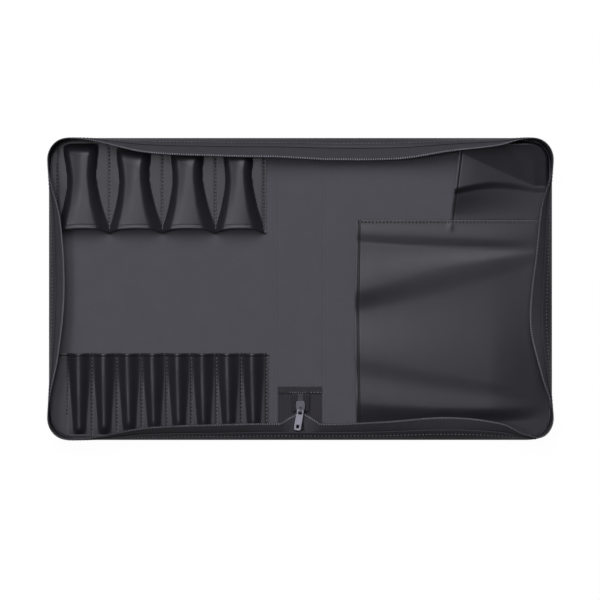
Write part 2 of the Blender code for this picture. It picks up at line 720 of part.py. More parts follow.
def build_spine_wall(skin, tape, metal):
    steps = 6
    places = [mix(-SPINE_WALL_HALF, SPINE_WALL_HALF, k / steps) for k in range(steps + 1)]
    top = [spine_station(1, x) for x in places]
    gusset("spine_top_wall", top, skin)
    zip_tape("spine_top_tape", top, tape)
    zip_teeth("spine_top_teeth", top, metal)
    bottom = [spine_station(-1, x) for x in places]
    gusset("spine_bottom_wall", bottom, skin)


# ---- Zip end, slider and pull ---------------------------------------------------


def end_chain_path(side):
    """The row of teeth from the spine's wall down to the slider's mouth."""
    start_station = spine_station(-1, side * SPINE_WALL_HALF)
    start = Vector(start_station.offset_point(1.0, TAPE_OFFSET))
    finish = Vector((side * (WEDGE_WIDTH / 2 + TOOTH_REACH / 2), SLIDER_FRONT_Y - 0.0012, CHANNEL_MIDDLE))
    bend = Vector((side * 0.011, SLIDER_FRONT_Y - 0.0045, CHANNEL_MIDDLE + 0.001))
    return start, bend, finish


def bezier(start, bend, finish, share):
    return start * (1 - share) ** 2 + bend * 2 * share * (1 - share) + finish * share**2


def build_zip_end(side, label, tape, metal):
    """One tape's end, from the spine's bottom wall to the slider, with its row of teeth."""
    start, bend, finish = end_chain_path(side)
    steps = 6
    upper, lower = [], []
    for k in range(steps + 1):
        share = k / steps
        on_chain = bezier(start, bend, finish, share)
        x = side * mix(SPINE_WALL_HALF, 0.0050, share)
        station = spine_station(-1, x)
        rim = Vector(station.offset_point(GUSSET_SHARE - 0.04, TAPE_OFFSET))
        towards = (rim - on_chain).normalized()
        upper.append(on_chain + towards * (TOOTH_REACH / 2 + 2 * SEAT_GAP))
        lower.append(rim)
    sections = []
    for high, low in zip(upper, lower):
        middle = (high + low) / 2
        down = Vector((0, 0, TAPE_THICKNESS / 2))
        row = [high, middle, low]
        sections.append([p + down for p in row] + [p - down for p in reversed(row)])
    ribbon(f"{label}_tape_end", sections, tape)

    sections = []
    for share in evenly(END_TEETH_START, 1.0, steps):
        centre = bezier(start, bend, finish, share)
        ahead = bezier(start, bend, finish, min(1.0, share + 0.02))
        behind = bezier(start, bend, finish, max(0.0, share - 0.02))
        along = (ahead - behind).normalized()
        step = min(steps - 1, int(share * steps))
        away = upper[step].lerp(upper[step + 1], share * steps - step) - centre
        across = (away - along * away.dot(along)).normalized()
        up = along.cross(across) * (TOOTH_HEIGHT / 2)
        across *= TOOTH_REACH / 2
        far, near = centre + across, centre - across
        sections.append([far + up, near + up, near - up, far - up])
    ribbon(f"{label}_teeth_end", sections, metal)


def build_zip_tail(tape, metal):
    """The joined end of the zip, which comes down to the patch's hem behind its bottom stop."""
    front = SLIDER_FRONT_Y + WEDGE_LENGTH + SLIDER_TRAVEL + SEAT_GAP
    stop_y = SLIDER_REAR_Y + SLIDER_TRAVEL
    end_y = PATCH_TOP_Y - PATCH_HEM - SEAT_GAP
    half = CHAIN_WIDTH / 2
    low, high = CHANNEL_MIDDLE - TOOTH_HEIGHT / 2, CHANNEL_MIDDLE + TOOTH_HEIGHT / 2
    block("zip_tail_teeth", (-half, front, low), (half, stop_y - SEAT_GAP, high), metal)
    for side, label in ((LEFT, "left"), (RIGHT, "right")):
        near, far = side * (half + SEAT_GAP), side * 0.0090
        up = TAPE_THICKNESS / 2
        first_y = SLIDER_FRONT_Y + WEDGE_LENGTH / 2
        profile = [(first_y, CHANNEL_MIDDLE), (stop_y, CHANNEL_MIDDLE), (end_y, PATCH_TOP + SEAT_GAP + up)]
        sections = []
        for y, z in profile:
            sections.append([(near, y, z + up), (far, y, z + up), (far, y, z - up), (near, y, z - up)])
        ribbon(f"{label}_tail_tape", sections, tape)
    stop_half = half + 0.0002
    block(
        "zip_bottom_stop",
        (-stop_half, stop_y, low - 0.0002),
        (stop_half, stop_y + STOP_LENGTH, high + 0.0002),
        metal,
    )


def build_patch(tape):
    """The woven patch sewn to the lining under the slider, with its upper edge turned over."""
    half = PATCH_WIDTH / 2
    hem_y = PATCH_TOP_Y - PATCH_HEM
    profile = [
        (PATCH_BOTTOM_Y, PATCH_TOP),
        (hem_y, PATCH_TOP),
        (hem_y + 0.0004, PATCH_TOP + PATCH_THICKNESS),
        (PATCH_TOP_Y, PATCH_TOP + PATCH_THICKNESS),
    ]
    sections = [
        [(-half, y, z), (half, y, z), (half, y, PATCH_BASE), (-half, y, PATCH_BASE)] for y, z in profile
    ]
    ribbon("zip_end_patch", sections, tape, 20)


def slider_plan():
    """Plan of a slider plate: square at its rear, full at its shoulders, round at its nose."""
    rear, shoulder = SLIDER_REAR_WIDTH / 2, SLIDER_WIDTH / 2
    right = [(rear * 0.93, SLIDER_REAR_Y), (rear, SLIDER_REAR_Y - 0.0006)]
    for width, share in ((1.0, 0.62), (0.96, 0.42), (0.80, 0.19), (0.58, 0.06), (0.30, 0.0)):
        right.append((shoulder * width, SLIDER_FRONT_Y + share * SLIDER_LENGTH))
    return right + [(-x, y) for x, y in reversed(right)]


def build_slider(metal):
    """Two plates held apart by a wedge, with rear flanges and a bridge that carries the pull."""
    body = plate("slider_body", slider_plan(), SLIDER_BASE, SLIDER_TOP, metal, bevel=0.0003)
    shoulder_y = SLIDER_FRONT_Y + 0.62 * SLIDER_LENGTH
    right = [
        (CHAIN_WIDTH / 2 + SEAT_GAP, SLIDER_REAR_Y + 0.001),
        (CHAIN_WIDTH / 2 + SEAT_GAP, SLIDER_REAR_Y - 0.0030),
        (SLIDER_WIDTH / 2 - FLANGE_WIDTH, shoulder_y),
        (SLIDER_WIDTH, shoulder_y - 0.0010),
        (SLIDER_WIDTH, SLIDER_FRONT_Y - 0.001),
    ]
    channel = plate(
        "channel_cutter", right + [(-x, y) for x, y in reversed(right)], CHANNEL_FLOOR, CHANNEL_TOP, metal
    )
    wedge_outline = [
        (0.0, SLIDER_FRONT_Y + WEDGE_LENGTH),
        (-WEDGE_WIDTH / 2, SLIDER_FRONT_Y + WEDGE_LENGTH * 0.45),
        (-WEDGE_WIDTH / 2.6, SLIDER_FRONT_Y - 0.002),
        (WEDGE_WIDTH / 2.6, SLIDER_FRONT_Y - 0.002),
        (WEDGE_WIDTH / 2, SLIDER_FRONT_Y + WEDGE_LENGTH * 0.45),
    ]
    wedge = plate("wedge_keeper", wedge_outline, CHANNEL_FLOOR - 0.0005, CHANNEL_TOP + 0.0005, metal)
    cut(channel, wedge)
    cut(body, channel)
    slot_low = CHANNEL_MIDDLE - TAPE_SLOT / 2
    slots = block(
        "slot_cutter",
        (-SLIDER_WIDTH, SLIDER_FRONT_Y + WEDGE_LENGTH * 0.2, slot_low),
        (SLIDER_WIDTH, SLIDER_REAR_Y + 0.001, slot_low + TAPE_SLOT),
        metal,
    )
    cut(slots, wedge)
    cut(body, slots)

    bridge_front = SLIDER_FRONT_Y + 0.0006
    outer = [
        (bridge_front, SLIDER_TOP - 0.0004),
        (bridge_front, SLIDER_TOP + BRIDGE_HEIGHT - 0.0008),
        (bridge_front + 0.0008, SLIDER_TOP + BRIDGE_HEIGHT),
        (bridge_front + BRIDGE_LENGTH - 0.0016, SLIDER_TOP + BRIDGE_HEIGHT),
        (bridge_front + BRIDGE_LENGTH, SLIDER_TOP + BRIDGE_HEIGHT - 0.0016),
        (bridge_front + BRIDGE_LENGTH, SLIDER_TOP - 0.0004),
    ]
    half = BRIDGE_WIDTH / 2
    count = len(outer)
    points = [(-half, y, z) for y, z in outer] + [(half, y, z) for y, z in outer]
    faces = [tuple(range(count)), tuple(range(count, 2 * count))]
    faces += [(i, (i + 1) % count, count + (i + 1) % count, count + i) for i in range(count)]
    bridge = add_mesh("bridge_solid", points, faces, metal)
    opening = block(
        "bridge_opening",
        (-half * 2, bridge_front + BRIDGE_BAR, SLIDER_TOP + 0.0002),
        (half * 2, bridge_front + BRIDGE_LENGTH - BRIDGE_BAR, SLIDER_TOP + BRIDGE_HEIGHT - BRIDGE_BAR),
        metal,
    )
    cut(bridge, opening)
    bridge.hide_render = True
    bridge.display_type = "WIRE"
    join = body.modifiers.new("bridge", "BOOLEAN")
    join.operation = "UNION"
    join.object = bridge
    return body


def pull_axis():
    """Centre of the pull's crossbar, inside the bridge."""
    bar = PULL_THICKNESS / 2
    y = SLIDER_FRONT_Y + 0.0006 + BRIDGE_BAR + bar + 0.0004
    return y, SLIDER_TOP + 0.0002 + bar + 0.0004


def build_pull(metal):
    """A flat tab whose head has an eye round the bridge; the eye's far bar is the pivot."""
    axis_y, axis_z = pull_axis()
    bar = PULL_THICKNESS / 2
    head, tip = PULL_HEAD_WIDTH / 2, PULL_WIDTH / 2
    top_y, bottom_y = axis_y + bar, axis_y - PULL_LENGTH
    right = [(head * 0.8, top_y), (head, top_y - 0.0007), (head, top_y - PULL_EYE_LENGTH - 0.0012)]
    right += [(tip, top_y - PULL_EYE_LENGTH - 0.0030), (tip, bottom_y + 0.0016), (tip * 0.6, bottom_y)]
    outline = right + [(-x, y) for x, y in reversed(right)]
    slant = math.radians(PULL_SLANT)

    def askew(points):
        sine, cosine = math.sin(slant), math.cos(slant)
        turned = []
        for x, y in points:
            down = y - axis_y
            turned.append((x * cosine + down * sine, axis_y - x * sine + down * cosine))
        return turned

    pull = plate("zip_pull", askew(outline), axis_z - bar, axis_z + bar, metal, bevel=0.00025)
    eye_half, eye_top = PULL_EYE_WIDTH / 2, axis_y - bar
    slot_half, slot_low = PULL_WIDTH * 0.2, bottom_y + 0.0024
    holes = (
        ("eye_cutter", eye_half, eye_top - PULL_EYE_LENGTH, eye_top),
        ("slot_in_pull", slot_half, slot_low, slot_low + PULL_SLOT_LENGTH),
    )
    for name, half, low, high in holes:
        corners = [(-half, low), (half, low), (half, high), (-half, high)]
        reach = 2 * PULL_THICKNESS
        cut(pull, plate(name, askew(corners), axis_z - reach, axis_z + reach, metal))
    return pull


# ---- Assembly -------------------------------------------------------------------


def pivot(name, place, carried, parent=None):
    """An empty on a moving group's axis, which carries the group's pieces."""
    empty = bpy.data.objects.new(name, None)
    bpy.context.scene.collection.objects.link(empty)
    empty.location = place
    if parent is not None:
        empty.parent = parent
        empty.matrix_parent_inverse = Matrix.Translation(-parent.location)
    for piece_name in carried:
        piece = bpy.data.objects[piece_name]
        piece.parent = empty
        piece.matrix_parent_inverse = Matrix.Translation(-Vector(place))
    return empty


def main():
    clear_scene()
    skin = make_material("black leatherette", (0.055, 0.055, 0.062), 0.5)
    lining = make_material("matt lining", (0.075, 0.074, 0.082), 0.75)
    board = make_material("grey board", (0.30, 0.29, 0.27), 0.9)
    sheet_leather = make_material("pocket leatherette", (0.06, 0.06, 0.068), 0.42)
    tape = make_material("woven tape", (0.05, 0.053, 0.056), 0.85)
    metal = make_material("gunmetal", (0.30, 0.30, 0.33), 0.3, 1.0)
    teeth = make_material("zip teeth", (0.04, 0.04, 0.045), 0.4)

    left_leans = (LEFT_BOTTOM_LEAN, LEFT_SIDE_LEAN, LEFT_TOP_LEAN)
    right_leans = (RIGHT_BOTTOM_LEAN, RIGHT_SIDE_LEAN, RIGHT_TOP_LEAN)
    for side, label, leans in ((LEFT, "left", left_leans), (RIGHT, "right", right_leans)):
        build_cover_panels(side, label, skin, board, lining)
        build_cover_wall(side, label, leans, skin, tape, teeth)
        build_zip_end(side, label, tape, teeth)
    build_spine_panels(skin, board, lining)
    build_spine_wall(skin, tape, teeth)

    seam_strip(
        "tool_pockets",
        tool_seams(),
        (-1.0, -0.84, -0.68, -0.56, -0.46, -0.36, -0.26, -0.10, 0.08, 0.24, 0.38, 0.50, 0.60, 0.72, 0.86),
        (0.0, 0.08, 0.16, 0.26, 0.45, 0.65, 0.85, 1.0),
        1,
        TOOL_MOUTH_Y,
        TOOL_RISE,
        TOOL_DRAWBACK,
        tool_height,
        sheet_leather,
    )
    seam_strip(
        "pen_sleeves",
        sleeve_seams(),
        evenly(-1.0, 0.75, 7),
        (0.0, 0.08, 0.18, 0.28, 0.45, 0.70, 1.0),
        -1,
        SLEEVE_MOUTH_Y,
        SLEEVE_RISE,
        SLEEVE_DRAWBACK,
        sleeve_height,
        sheet_leather,
    )
    build_large_pocket(sheet_leather)
    build_small_pocket(sheet_leather)

    build_patch(tape)
    build_zip_tail(tape, teeth)
    build_slider(metal)
    build_pull(metal)

    for side, label, pockets in (
        (LEFT, "left", ("tool_pockets", "pen_sleeves")),
        (RIGHT, "right", ("large_pocket", "corner_pocket")),
    ):
        kinds = ("cover_skin", "board", "lining", "wall", "zip_tape", "zip_teeth")
        pieces = [f"{label}_{kind}" for kind in kinds]
        pivot(f"{label}_cover_fold", (side * HALF_SPINE, 0.0, FOLD_Z), pieces + list(pockets))
    carriage = pivot("slider_travel", (0.0, SLIDER_FRONT_Y, SLIDER_BASE), ["slider_body"])
    pivot("pull_pivot", (0.0, *pull_axis()), ["zip_pull"], carriage)


main()
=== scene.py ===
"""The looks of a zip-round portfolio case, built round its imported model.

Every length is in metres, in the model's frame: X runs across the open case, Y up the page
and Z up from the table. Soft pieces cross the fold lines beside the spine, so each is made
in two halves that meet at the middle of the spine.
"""

import math

import bpy
import numpy as np
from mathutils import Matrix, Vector


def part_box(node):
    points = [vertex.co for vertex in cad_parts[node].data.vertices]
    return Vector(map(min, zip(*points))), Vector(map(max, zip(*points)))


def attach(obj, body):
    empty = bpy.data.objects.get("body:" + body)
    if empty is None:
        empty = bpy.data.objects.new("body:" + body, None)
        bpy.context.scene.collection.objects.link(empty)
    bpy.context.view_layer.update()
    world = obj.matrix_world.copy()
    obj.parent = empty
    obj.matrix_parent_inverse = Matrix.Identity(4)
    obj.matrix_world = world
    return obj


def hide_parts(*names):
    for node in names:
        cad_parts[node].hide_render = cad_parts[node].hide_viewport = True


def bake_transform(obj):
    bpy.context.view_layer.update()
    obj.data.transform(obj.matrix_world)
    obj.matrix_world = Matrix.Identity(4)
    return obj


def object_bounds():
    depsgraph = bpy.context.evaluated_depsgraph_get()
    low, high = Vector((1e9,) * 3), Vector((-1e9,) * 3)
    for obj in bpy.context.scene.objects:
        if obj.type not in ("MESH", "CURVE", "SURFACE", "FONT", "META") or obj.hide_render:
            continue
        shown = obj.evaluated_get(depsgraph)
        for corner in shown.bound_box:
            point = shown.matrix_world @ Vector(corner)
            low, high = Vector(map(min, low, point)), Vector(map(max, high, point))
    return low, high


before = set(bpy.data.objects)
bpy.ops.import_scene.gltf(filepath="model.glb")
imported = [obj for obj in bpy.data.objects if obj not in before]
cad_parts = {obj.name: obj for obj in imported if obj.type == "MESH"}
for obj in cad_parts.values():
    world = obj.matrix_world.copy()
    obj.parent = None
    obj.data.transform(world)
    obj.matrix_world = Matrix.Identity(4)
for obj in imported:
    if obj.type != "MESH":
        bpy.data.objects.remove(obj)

cad_low, cad_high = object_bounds()

# ---- Sizes ----------------------------------------------------------------------

MM = 0.001
HALF_WIDTH = cad_high.x
HALF_HEIGHT = cad_high.y
HALF_SPINE = 27.0 * MM  # from the middle to each fold line
CORNER_RADIUS = 26.0 * MM
COVER_WIDTH = HALF_WIDTH - HALF_SPINE
SKIN_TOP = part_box("spine_skin")[1].z
LINING_BOTTOM, LINING_TOP = (corner.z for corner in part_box("spine_lining"))
FOLD_Z = SKIN_TOP
GAP = 0.3 * MM
LINING_INSET = 1.9 * MM
SHEET = 1.0 * MM
SHEET_TOP = LINING_TOP + GAP + SHEET
SEAM_INSET = 6.5 * MM  # of a pocket's sewn edge from the outline
SEAM_MARGIN = 2.5 * MM  # of sheet past a strip's last seam
EDGE_INSET = 3.8 * MM  # of its raw edge, under the wall

WALL_FOOT_Z = SKIN_TOP + GAP
WALL_CHORD = 27.5 * MM - WALL_FOOT_Z
WALL_SLACK = 1.8 * MM
WALL_INSET = 1.2 * MM
WALL_FLARE = 1.0 * MM
WALL_BULGE = 0.4 * MM  # outwards, of its curve's middle
STRIP_THICKNESS = 1.0 * MM
STRIP_SHARE = 0.64  # of the wall's curve, from its foot
STITCH_DROP = 0.17  # of the curve, from the strip's upper edge down to its stitches
TAPE_THICKNESS = 0.6 * MM
TAPE_FOOT = STRIP_SHARE - 0.10  # of the curve, where the tape starts behind the strip
TAPE_OFFSET = -(STRIP_THICKNESS + TAPE_THICKNESS) / 2 - 0.1 * MM
BOTTOM_DROOP = 0.30
SPINE_WALL_HALF = 21.0 * MM
TENT_END_X = 4.6 * MM  # of the tape's lap, beside the slider
TENT_BELLY = 1.6 * MM
CHAIN_END_X = 2.7 * MM  # where the teeth enter the slider, and how far before its front
CHAIN_END_GAP = 0.4 * MM
CHAIN_BEND_X = 11.0 * MM
CHAIN_BEND_DROP = 4.5 * MM

# Lean of the teeth over the lining, as (share of the run, lean). A run across a cover
# starts at its corner and ends at its fold line. A side runs from bottom to top.
LEANS = {
    ("left", "top"): ((0.0, 1.0), (0.36, 16.0), (0.72, 20.0), (1.0, 21.0)),
    ("left", "bottom"): ((0.0, 1.0), (0.36, 13.5), (0.72, 17.0), (1.0, 18.0)),
    ("left", "side"): ((0.0, 0.0), (0.235, 11.5), (0.49, 18.0), (0.776, 13.5), (1.0, 0.0)),
    ("right", "top"): ((0.0, 1.0), (0.157, 9.0), (0.39, 15.0), (0.635, 23.0), (1.0, 24.0)),
    ("right", "bottom"): ((0.0, 6.0), (0.13, 18.0), (0.39, 24.5), (0.72, 20.0), (1.0, 17.5)),
    ("right", "side"): (
        (0.0, 0.0), (0.157, 12.5), (0.366, 24.5), (0.67, 17.5), (0.83, 12.5), (1.0, 0.0),
    ),
}
SIDE_SIGN = {"left": -1, "right": 1}
COVER = {"left": "left_cover", "right": "right_cover"}

STITCH_PITCH = 3.8 * MM
STITCH_THREAD = {"length": 2.7 * MM, "width": 0.9 * MM, "height": 0.8 * MM, "lift": 0.10 * MM}
# Near-black beads between the stitches: painted shade where each needle hole sinks in.
HOLE_SHADE_BEAD = {"length": 2.1 * MM, "width": 2.4 * MM, "height": 0.5 * MM, "lift": 0.08 * MM}
TOOTH_PITCH = 2.4 * MM
TOOTH_BEAD = {"length": 1.4 * MM, "width": 1.7 * MM, "height": 2.2 * MM, "segments": 8}
TOOTH_DROP = 1.0 * MM  # of the beads' line below the tape's edge
PANEL_FOLD_REACH = 4.5 * MM  # how far from a fold line the panels would bend; no bend is made
WALL_FOLD_REACH = 24.0 * MM


# ---- Small maths ----------------------------------------------------------------


def smooth(value):
    value = np.clip(value, 0.0, 1.0)
    return value * value * (3 - 2 * value)


def mix(a, b, share):
    return a + (b - a) * share


def bell(value, centre, width):
    return np.exp(-(((value - centre) / width) ** 2))


def through(stops, share):
    """A smooth curve through (share, value) stops, level at both ends."""
    share = min(stops[-1][0], max(stops[0][0], share))
    slopes = [0.0]
    for k in range(1, len(stops) - 1):
        slopes.append((stops[k + 1][1] - stops[k - 1][1]) / (stops[k + 1][0] - stops[k - 1][0]))
    slopes.append(0.0)
    for k in range(len(stops) - 1):
        (a, value_a), (b, value_b) = stops[k], stops[k + 1]
        if share <= b:
            span = b - a
            t = (share - a) / span
            return (
                (2 * t**3 - 3 * t**2 + 1) * value_a
                + (t**3 - 2 * t**2 + t) * span * slopes[k]
                + (3 * t**2 - 2 * t**3) * value_b
                + (t**3 - t**2) * span * slopes[k + 1]
            )
    return stops[-1][1]


# ---- Materials ------------------------------------------------------------------


class Number:
    """A number socket, on which Python's operators add Math nodes."""

    def __init__(self, finish, socket):
        self.finish, self.socket = finish, socket

    def _math(self, operation, first, second=None):
        node = self.finish.node("ShaderNodeMath", {"operation": operation})
        self.finish.feed(node.inputs[0], first)
        if second is not None:
            self.finish.feed(node.inputs[1], second)
        return Number(self.finish, node.outputs[0])

    def __add__(self, other):
        return self._math("ADD", self, other)

    __radd__ = __add__

    def __mul__(self, other):
        return self._math("MULTIPLY", self, other)

    def sine(self):
        return self._math("SINE", self)


class Finish:
    """A material with a Principled shader, and short ways to add its other nodes."""

    def __init__(self, name, roughness, metallic=0.0, specular=0.5):
        self.material = bpy.data.materials.new(name)
        self.material.use_nodes = True
        self.tree = self.material.node_tree
        self.shader = self.tree.nodes["Principled BSDF"]
        self.shader.inputs["Roughness"].default_value = roughness
        self.shader.inputs["Metallic"].default_value = metallic
        self.shader.inputs["Specular IOR Level"].default_value = specular

    def feed(self, socket, value):
        if isinstance(value, Number):
            value = value.socket
        if isinstance(value, bpy.types.NodeSocket):
            self.tree.links.new(value, socket)
        elif value is not None:
            socket.default_value = value

    def node(self, kind, settings=None, inputs=None):
        made = self.tree.nodes.new(kind)
        for key, value in (settings or {}).items():
            setattr(made, key, value)
        for key, value in (inputs or {}).items():
            self.feed(made.inputs[key], value)
        return made

    def place(self, kind="Object"):
        return self.node("ShaderNodeTexCoord").outputs[kind]

    def stretched(self, vector, scale):
        mapping = self.node("ShaderNodeMapping", {}, {"Vector": vector, "Scale": scale})
        return mapping.outputs["Vector"]

    def axis(self, vector, name):
        apart = self.node("ShaderNodeSeparateXYZ", {}, {"Vector": vector})
        return Number(self, apart.outputs[name])

    def noise(self, vector, size, detail=2.0, roughness=0.5):
        """Noise about `size` metres across, from 0 to 1."""
        node = self.node(
            "ShaderNodeTexNoise",
            {"noise_dimensions": "3D"},
            {"Vector": vector, "Scale": 1 / size, "Detail": detail, "Roughness": roughness},
        )
        return Number(self, node.outputs["Fac"])

    def cells(self, vector, size):
        node = self.node("ShaderNodeTexVoronoi", {}, {"Vector": vector, "Scale": 1 / size})
        return Number(self, node.outputs["Distance"])

    def colour(self, dark, light, share):
        """Base colour between two colours, where share is 0 and 1."""
        node = self.node("ShaderNodeMix", {"data_type": "RGBA"})
        self.feed(node.inputs["Factor"], share)
        node.inputs[6].default_value = (*dark, 1)
        node.inputs[7].default_value = (*light, 1)
        self.feed(self.shader.inputs["Base Color"], node.outputs[2])

    def rough(self, value):
        self.feed(self.shader.inputs["Roughness"], value)

    def relief(self, height, depth):
        """Bump from a height that runs from 0 to 1, where 1 stands `depth` metres proud."""
        node = self.node("ShaderNodeBump", {}, {"Height": height, "Distance": depth})
        node.inputs["Strength"].default_value = 1.0
        self.feed(self.shader.inputs["Normal"], node.outputs["Normal"])


def scaled(colour, factor):
    return tuple(channel * factor for channel in colour)


def leatherette(name, colour, roughness, grain, depth, specular=0.5):
    """Coated cloth: a fine pebbled grain, and a faint cloudiness in its shade and gloss."""
    finish = Finish(name, roughness, specular=specular)
    spot = finish.place()
    cloud = finish.noise(spot, 14 * MM, 3.0)
    speck = finish.noise(spot, 1.1 * MM, 2.0)
    pebble = finish.cells(spot, grain)
    finish.colour(scaled(colour, 0.82), scaled(colour, 1.18), cloud * 0.5 + speck * 0.5)
    finish.rough(roughness - 0.07 + cloud * 0.14)
    finish.relief(pebble * 0.7 + speck * 0.3, depth)
    return finish.material


def matt_lining():
    """Matt coated lining with a soft, slightly mottled face."""
    colour = (0.0690, 0.0677, 0.0744)
    finish = Finish("matt lining", 0.82, specular=0.15)
    spot = finish.place()
    cloud = finish.noise(spot, 22 * MM, 4.0, 0.6)
    mottle = finish.noise(spot, 3.2 * MM, 3.0, 0.65)
    speck = finish.noise(spot, 0.7 * MM, 1.0)
    shade = cloud * 0.35 + mottle * 0.45 + speck * 0.2
    finish.colour(scaled(colour, 0.80), scaled(colour, 1.20), shade)
    finish.rough(0.74 + mottle * 0.16)
    finish.relief(mottle * 0.6 + speck * 0.4, 0.12 * MM)
    return finish.material


def woven_tape(name, colour, rib, depth):
    """Tape whose ribs run across it; it reads the piece's own UV map, in metres."""
    finish = Finish(name, 0.85, specular=0.25)
    place = finish.place("UV")
    along, across = finish.axis(place, "X"), finish.axis(place, "Y")
    ribs = (along * (2 * math.pi / rib)).sine() * 0.5 + 0.5
    picks = (across * (2 * math.pi / (rib * 0.8))).sine() * 0.5 + 0.5
    cloud = finish.noise(finish.place(), 9 * MM, 3.0)
    shade = ribs * 0.4 + picks * 0.2 + cloud * 0.4
    finish.colour(scaled(colour, 0.70), scaled(colour, 1.30), shade)
    finish.relief(ribs * 0.75 + picks * 0.25, depth)
    return finish.material


def plated_metal(name, colour, roughness):
    """Dark plating with fine brush marks and small dull spots."""
    finish = Finish(name, roughness, 1.0)
    spot = finish.place()
    brush = finish.noise(finish.stretched(spot, (9.0, 1.0, 3.0)), 0.9 * MM, 2.0)
    spots = finish.noise(spot, 1.6 * MM, 3.0)
    finish.colour(scaled(colour, 0.80), scaled(colour, 1.15), spots)
    finish.rough(roughness - 0.05 + brush * 0.16)
    finish.relief(brush, 0.01 * MM)
    return finish.material


def smooth_plastic(name, colour, roughness):
    finish = Finish(name, roughness)
    cloud = finish.noise(finish.place(), 4 * MM, 2.0)
    finish.colour(scaled(colour, 0.75), scaled(colour, 1.25), cloud)
    finish.rough(roughness - 0.05 + cloud * 0.1)
    return finish.material


# Leatherettes by colour, roughness, size and depth of their grain, and specular level
HIDE = leatherette("outer leatherette", (0.030, 0.030, 0.034), 0.60, 1.5 * MM, 0.10 * MM, 0.3)
STRIP = leatherette("wall leatherette", (0.024, 0.024, 0.027), 0.60, 1.2 * MM, 0.08 * MM, 0.3)
POCKET = leatherette("pocket leatherette", (0.0150, 0.0146, 0.0172), 0.38, 0.8 * MM, 0.02 * MM, 0.34)
GREY_BOARD = leatherette("grey board", (0.28, 0.27, 0.25), 0.9, 0.8 * MM, 0.05 * MM, 0.2)
LINING = matt_lining()
TAPE = woven_tape("zip tape", (0.0320, 0.0325, 0.0360), 1.3 * MM, 0.12 * MM)
DARK_TAPE = woven_tape("joined tape", (0.020, 0.020, 0.022), 1.3 * MM, 0.12 * MM)
PATCH = woven_tape("ribbed patch", (0.026, 0.025, 0.029), 2.4 * MM, 0.25 * MM)
# The coil's own nylon is dark; its pale colour here is partly that tone and mostly a painted
# highlight for the glint along its teeth.
COIL_AND_HIGHLIGHT = smooth_plastic("zip coil and highlight", (0.190, 0.190, 0.205), 0.40)
DARK_COIL = smooth_plastic("joined coil", (0.014, 0.014, 0.016), 0.55)
# Thread lighter than the dark leather: partly the thread's own tone, partly a painted highlight on
# the raised stitch beads.
THREAD_AND_HIGHLIGHT = smooth_plastic("thread", (0.095, 0.094, 0.104), 0.6)
PALE_THREAD = smooth_plastic("pale thread", (0.120, 0.118, 0.130), 0.6)
# Near-black colour of the beads set between stitches: painted shade for each needle hole.
HOLE_SHADE = smooth_plastic("stitch hole shade", (0.004, 0.004, 0.005), 0.9)
METAL = plated_metal("gunmetal slider", (0.092, 0.092, 0.101), 0.42)
BRIGHT_METAL = plated_metal("bright pull", (0.190, 0.188, 0.211), 0.36)


# ---- Mesh helpers ---------------------------------------------------------------


def add_piece(name, points, faces, material, uv):
    """A smooth shaded piece, with a UV place for each point."""
    mesh = bpy.data.meshes.new(name)
    mesh.from_pydata(
        [tuple(map(float, point)) for point in points], [], [tuple(map(int, face)) for face in faces]
    )
    mesh.materials.append(material)
    layer = mesh.uv_layers.new(name="cloth")
    corners = np.empty(len(mesh.loops), dtype=np.int32)
    mesh.loops.foreach_get("vertex_index", corners)
    layer.data.foreach_set("uv", np.asarray(uv, dtype=np.float32)[corners].ravel())
    mesh.shade_smooth()
    mesh.set_sharp_from_angle(angle=math.radians(60))
    mesh.update()
    made = bpy.data.objects.new(name, mesh)
    bpy.context.scene.collection.objects.link(made)
    return made


def surface(xs, ys, zs):
    """A grid of points, from coordinates that broadcast against each other."""
    return np.stack(np.broadcast_arrays(xs, ys, zs), axis=-1)


def grid_normals(grid):
    along = np.gradient(grid, axis=0)
    across = np.gradient(grid, axis=1)
    normal = np.cross(along, across)
    size = np.linalg.norm(normal, axis=2, keepdims=True)
    return normal / np.maximum(size, 1e-12)


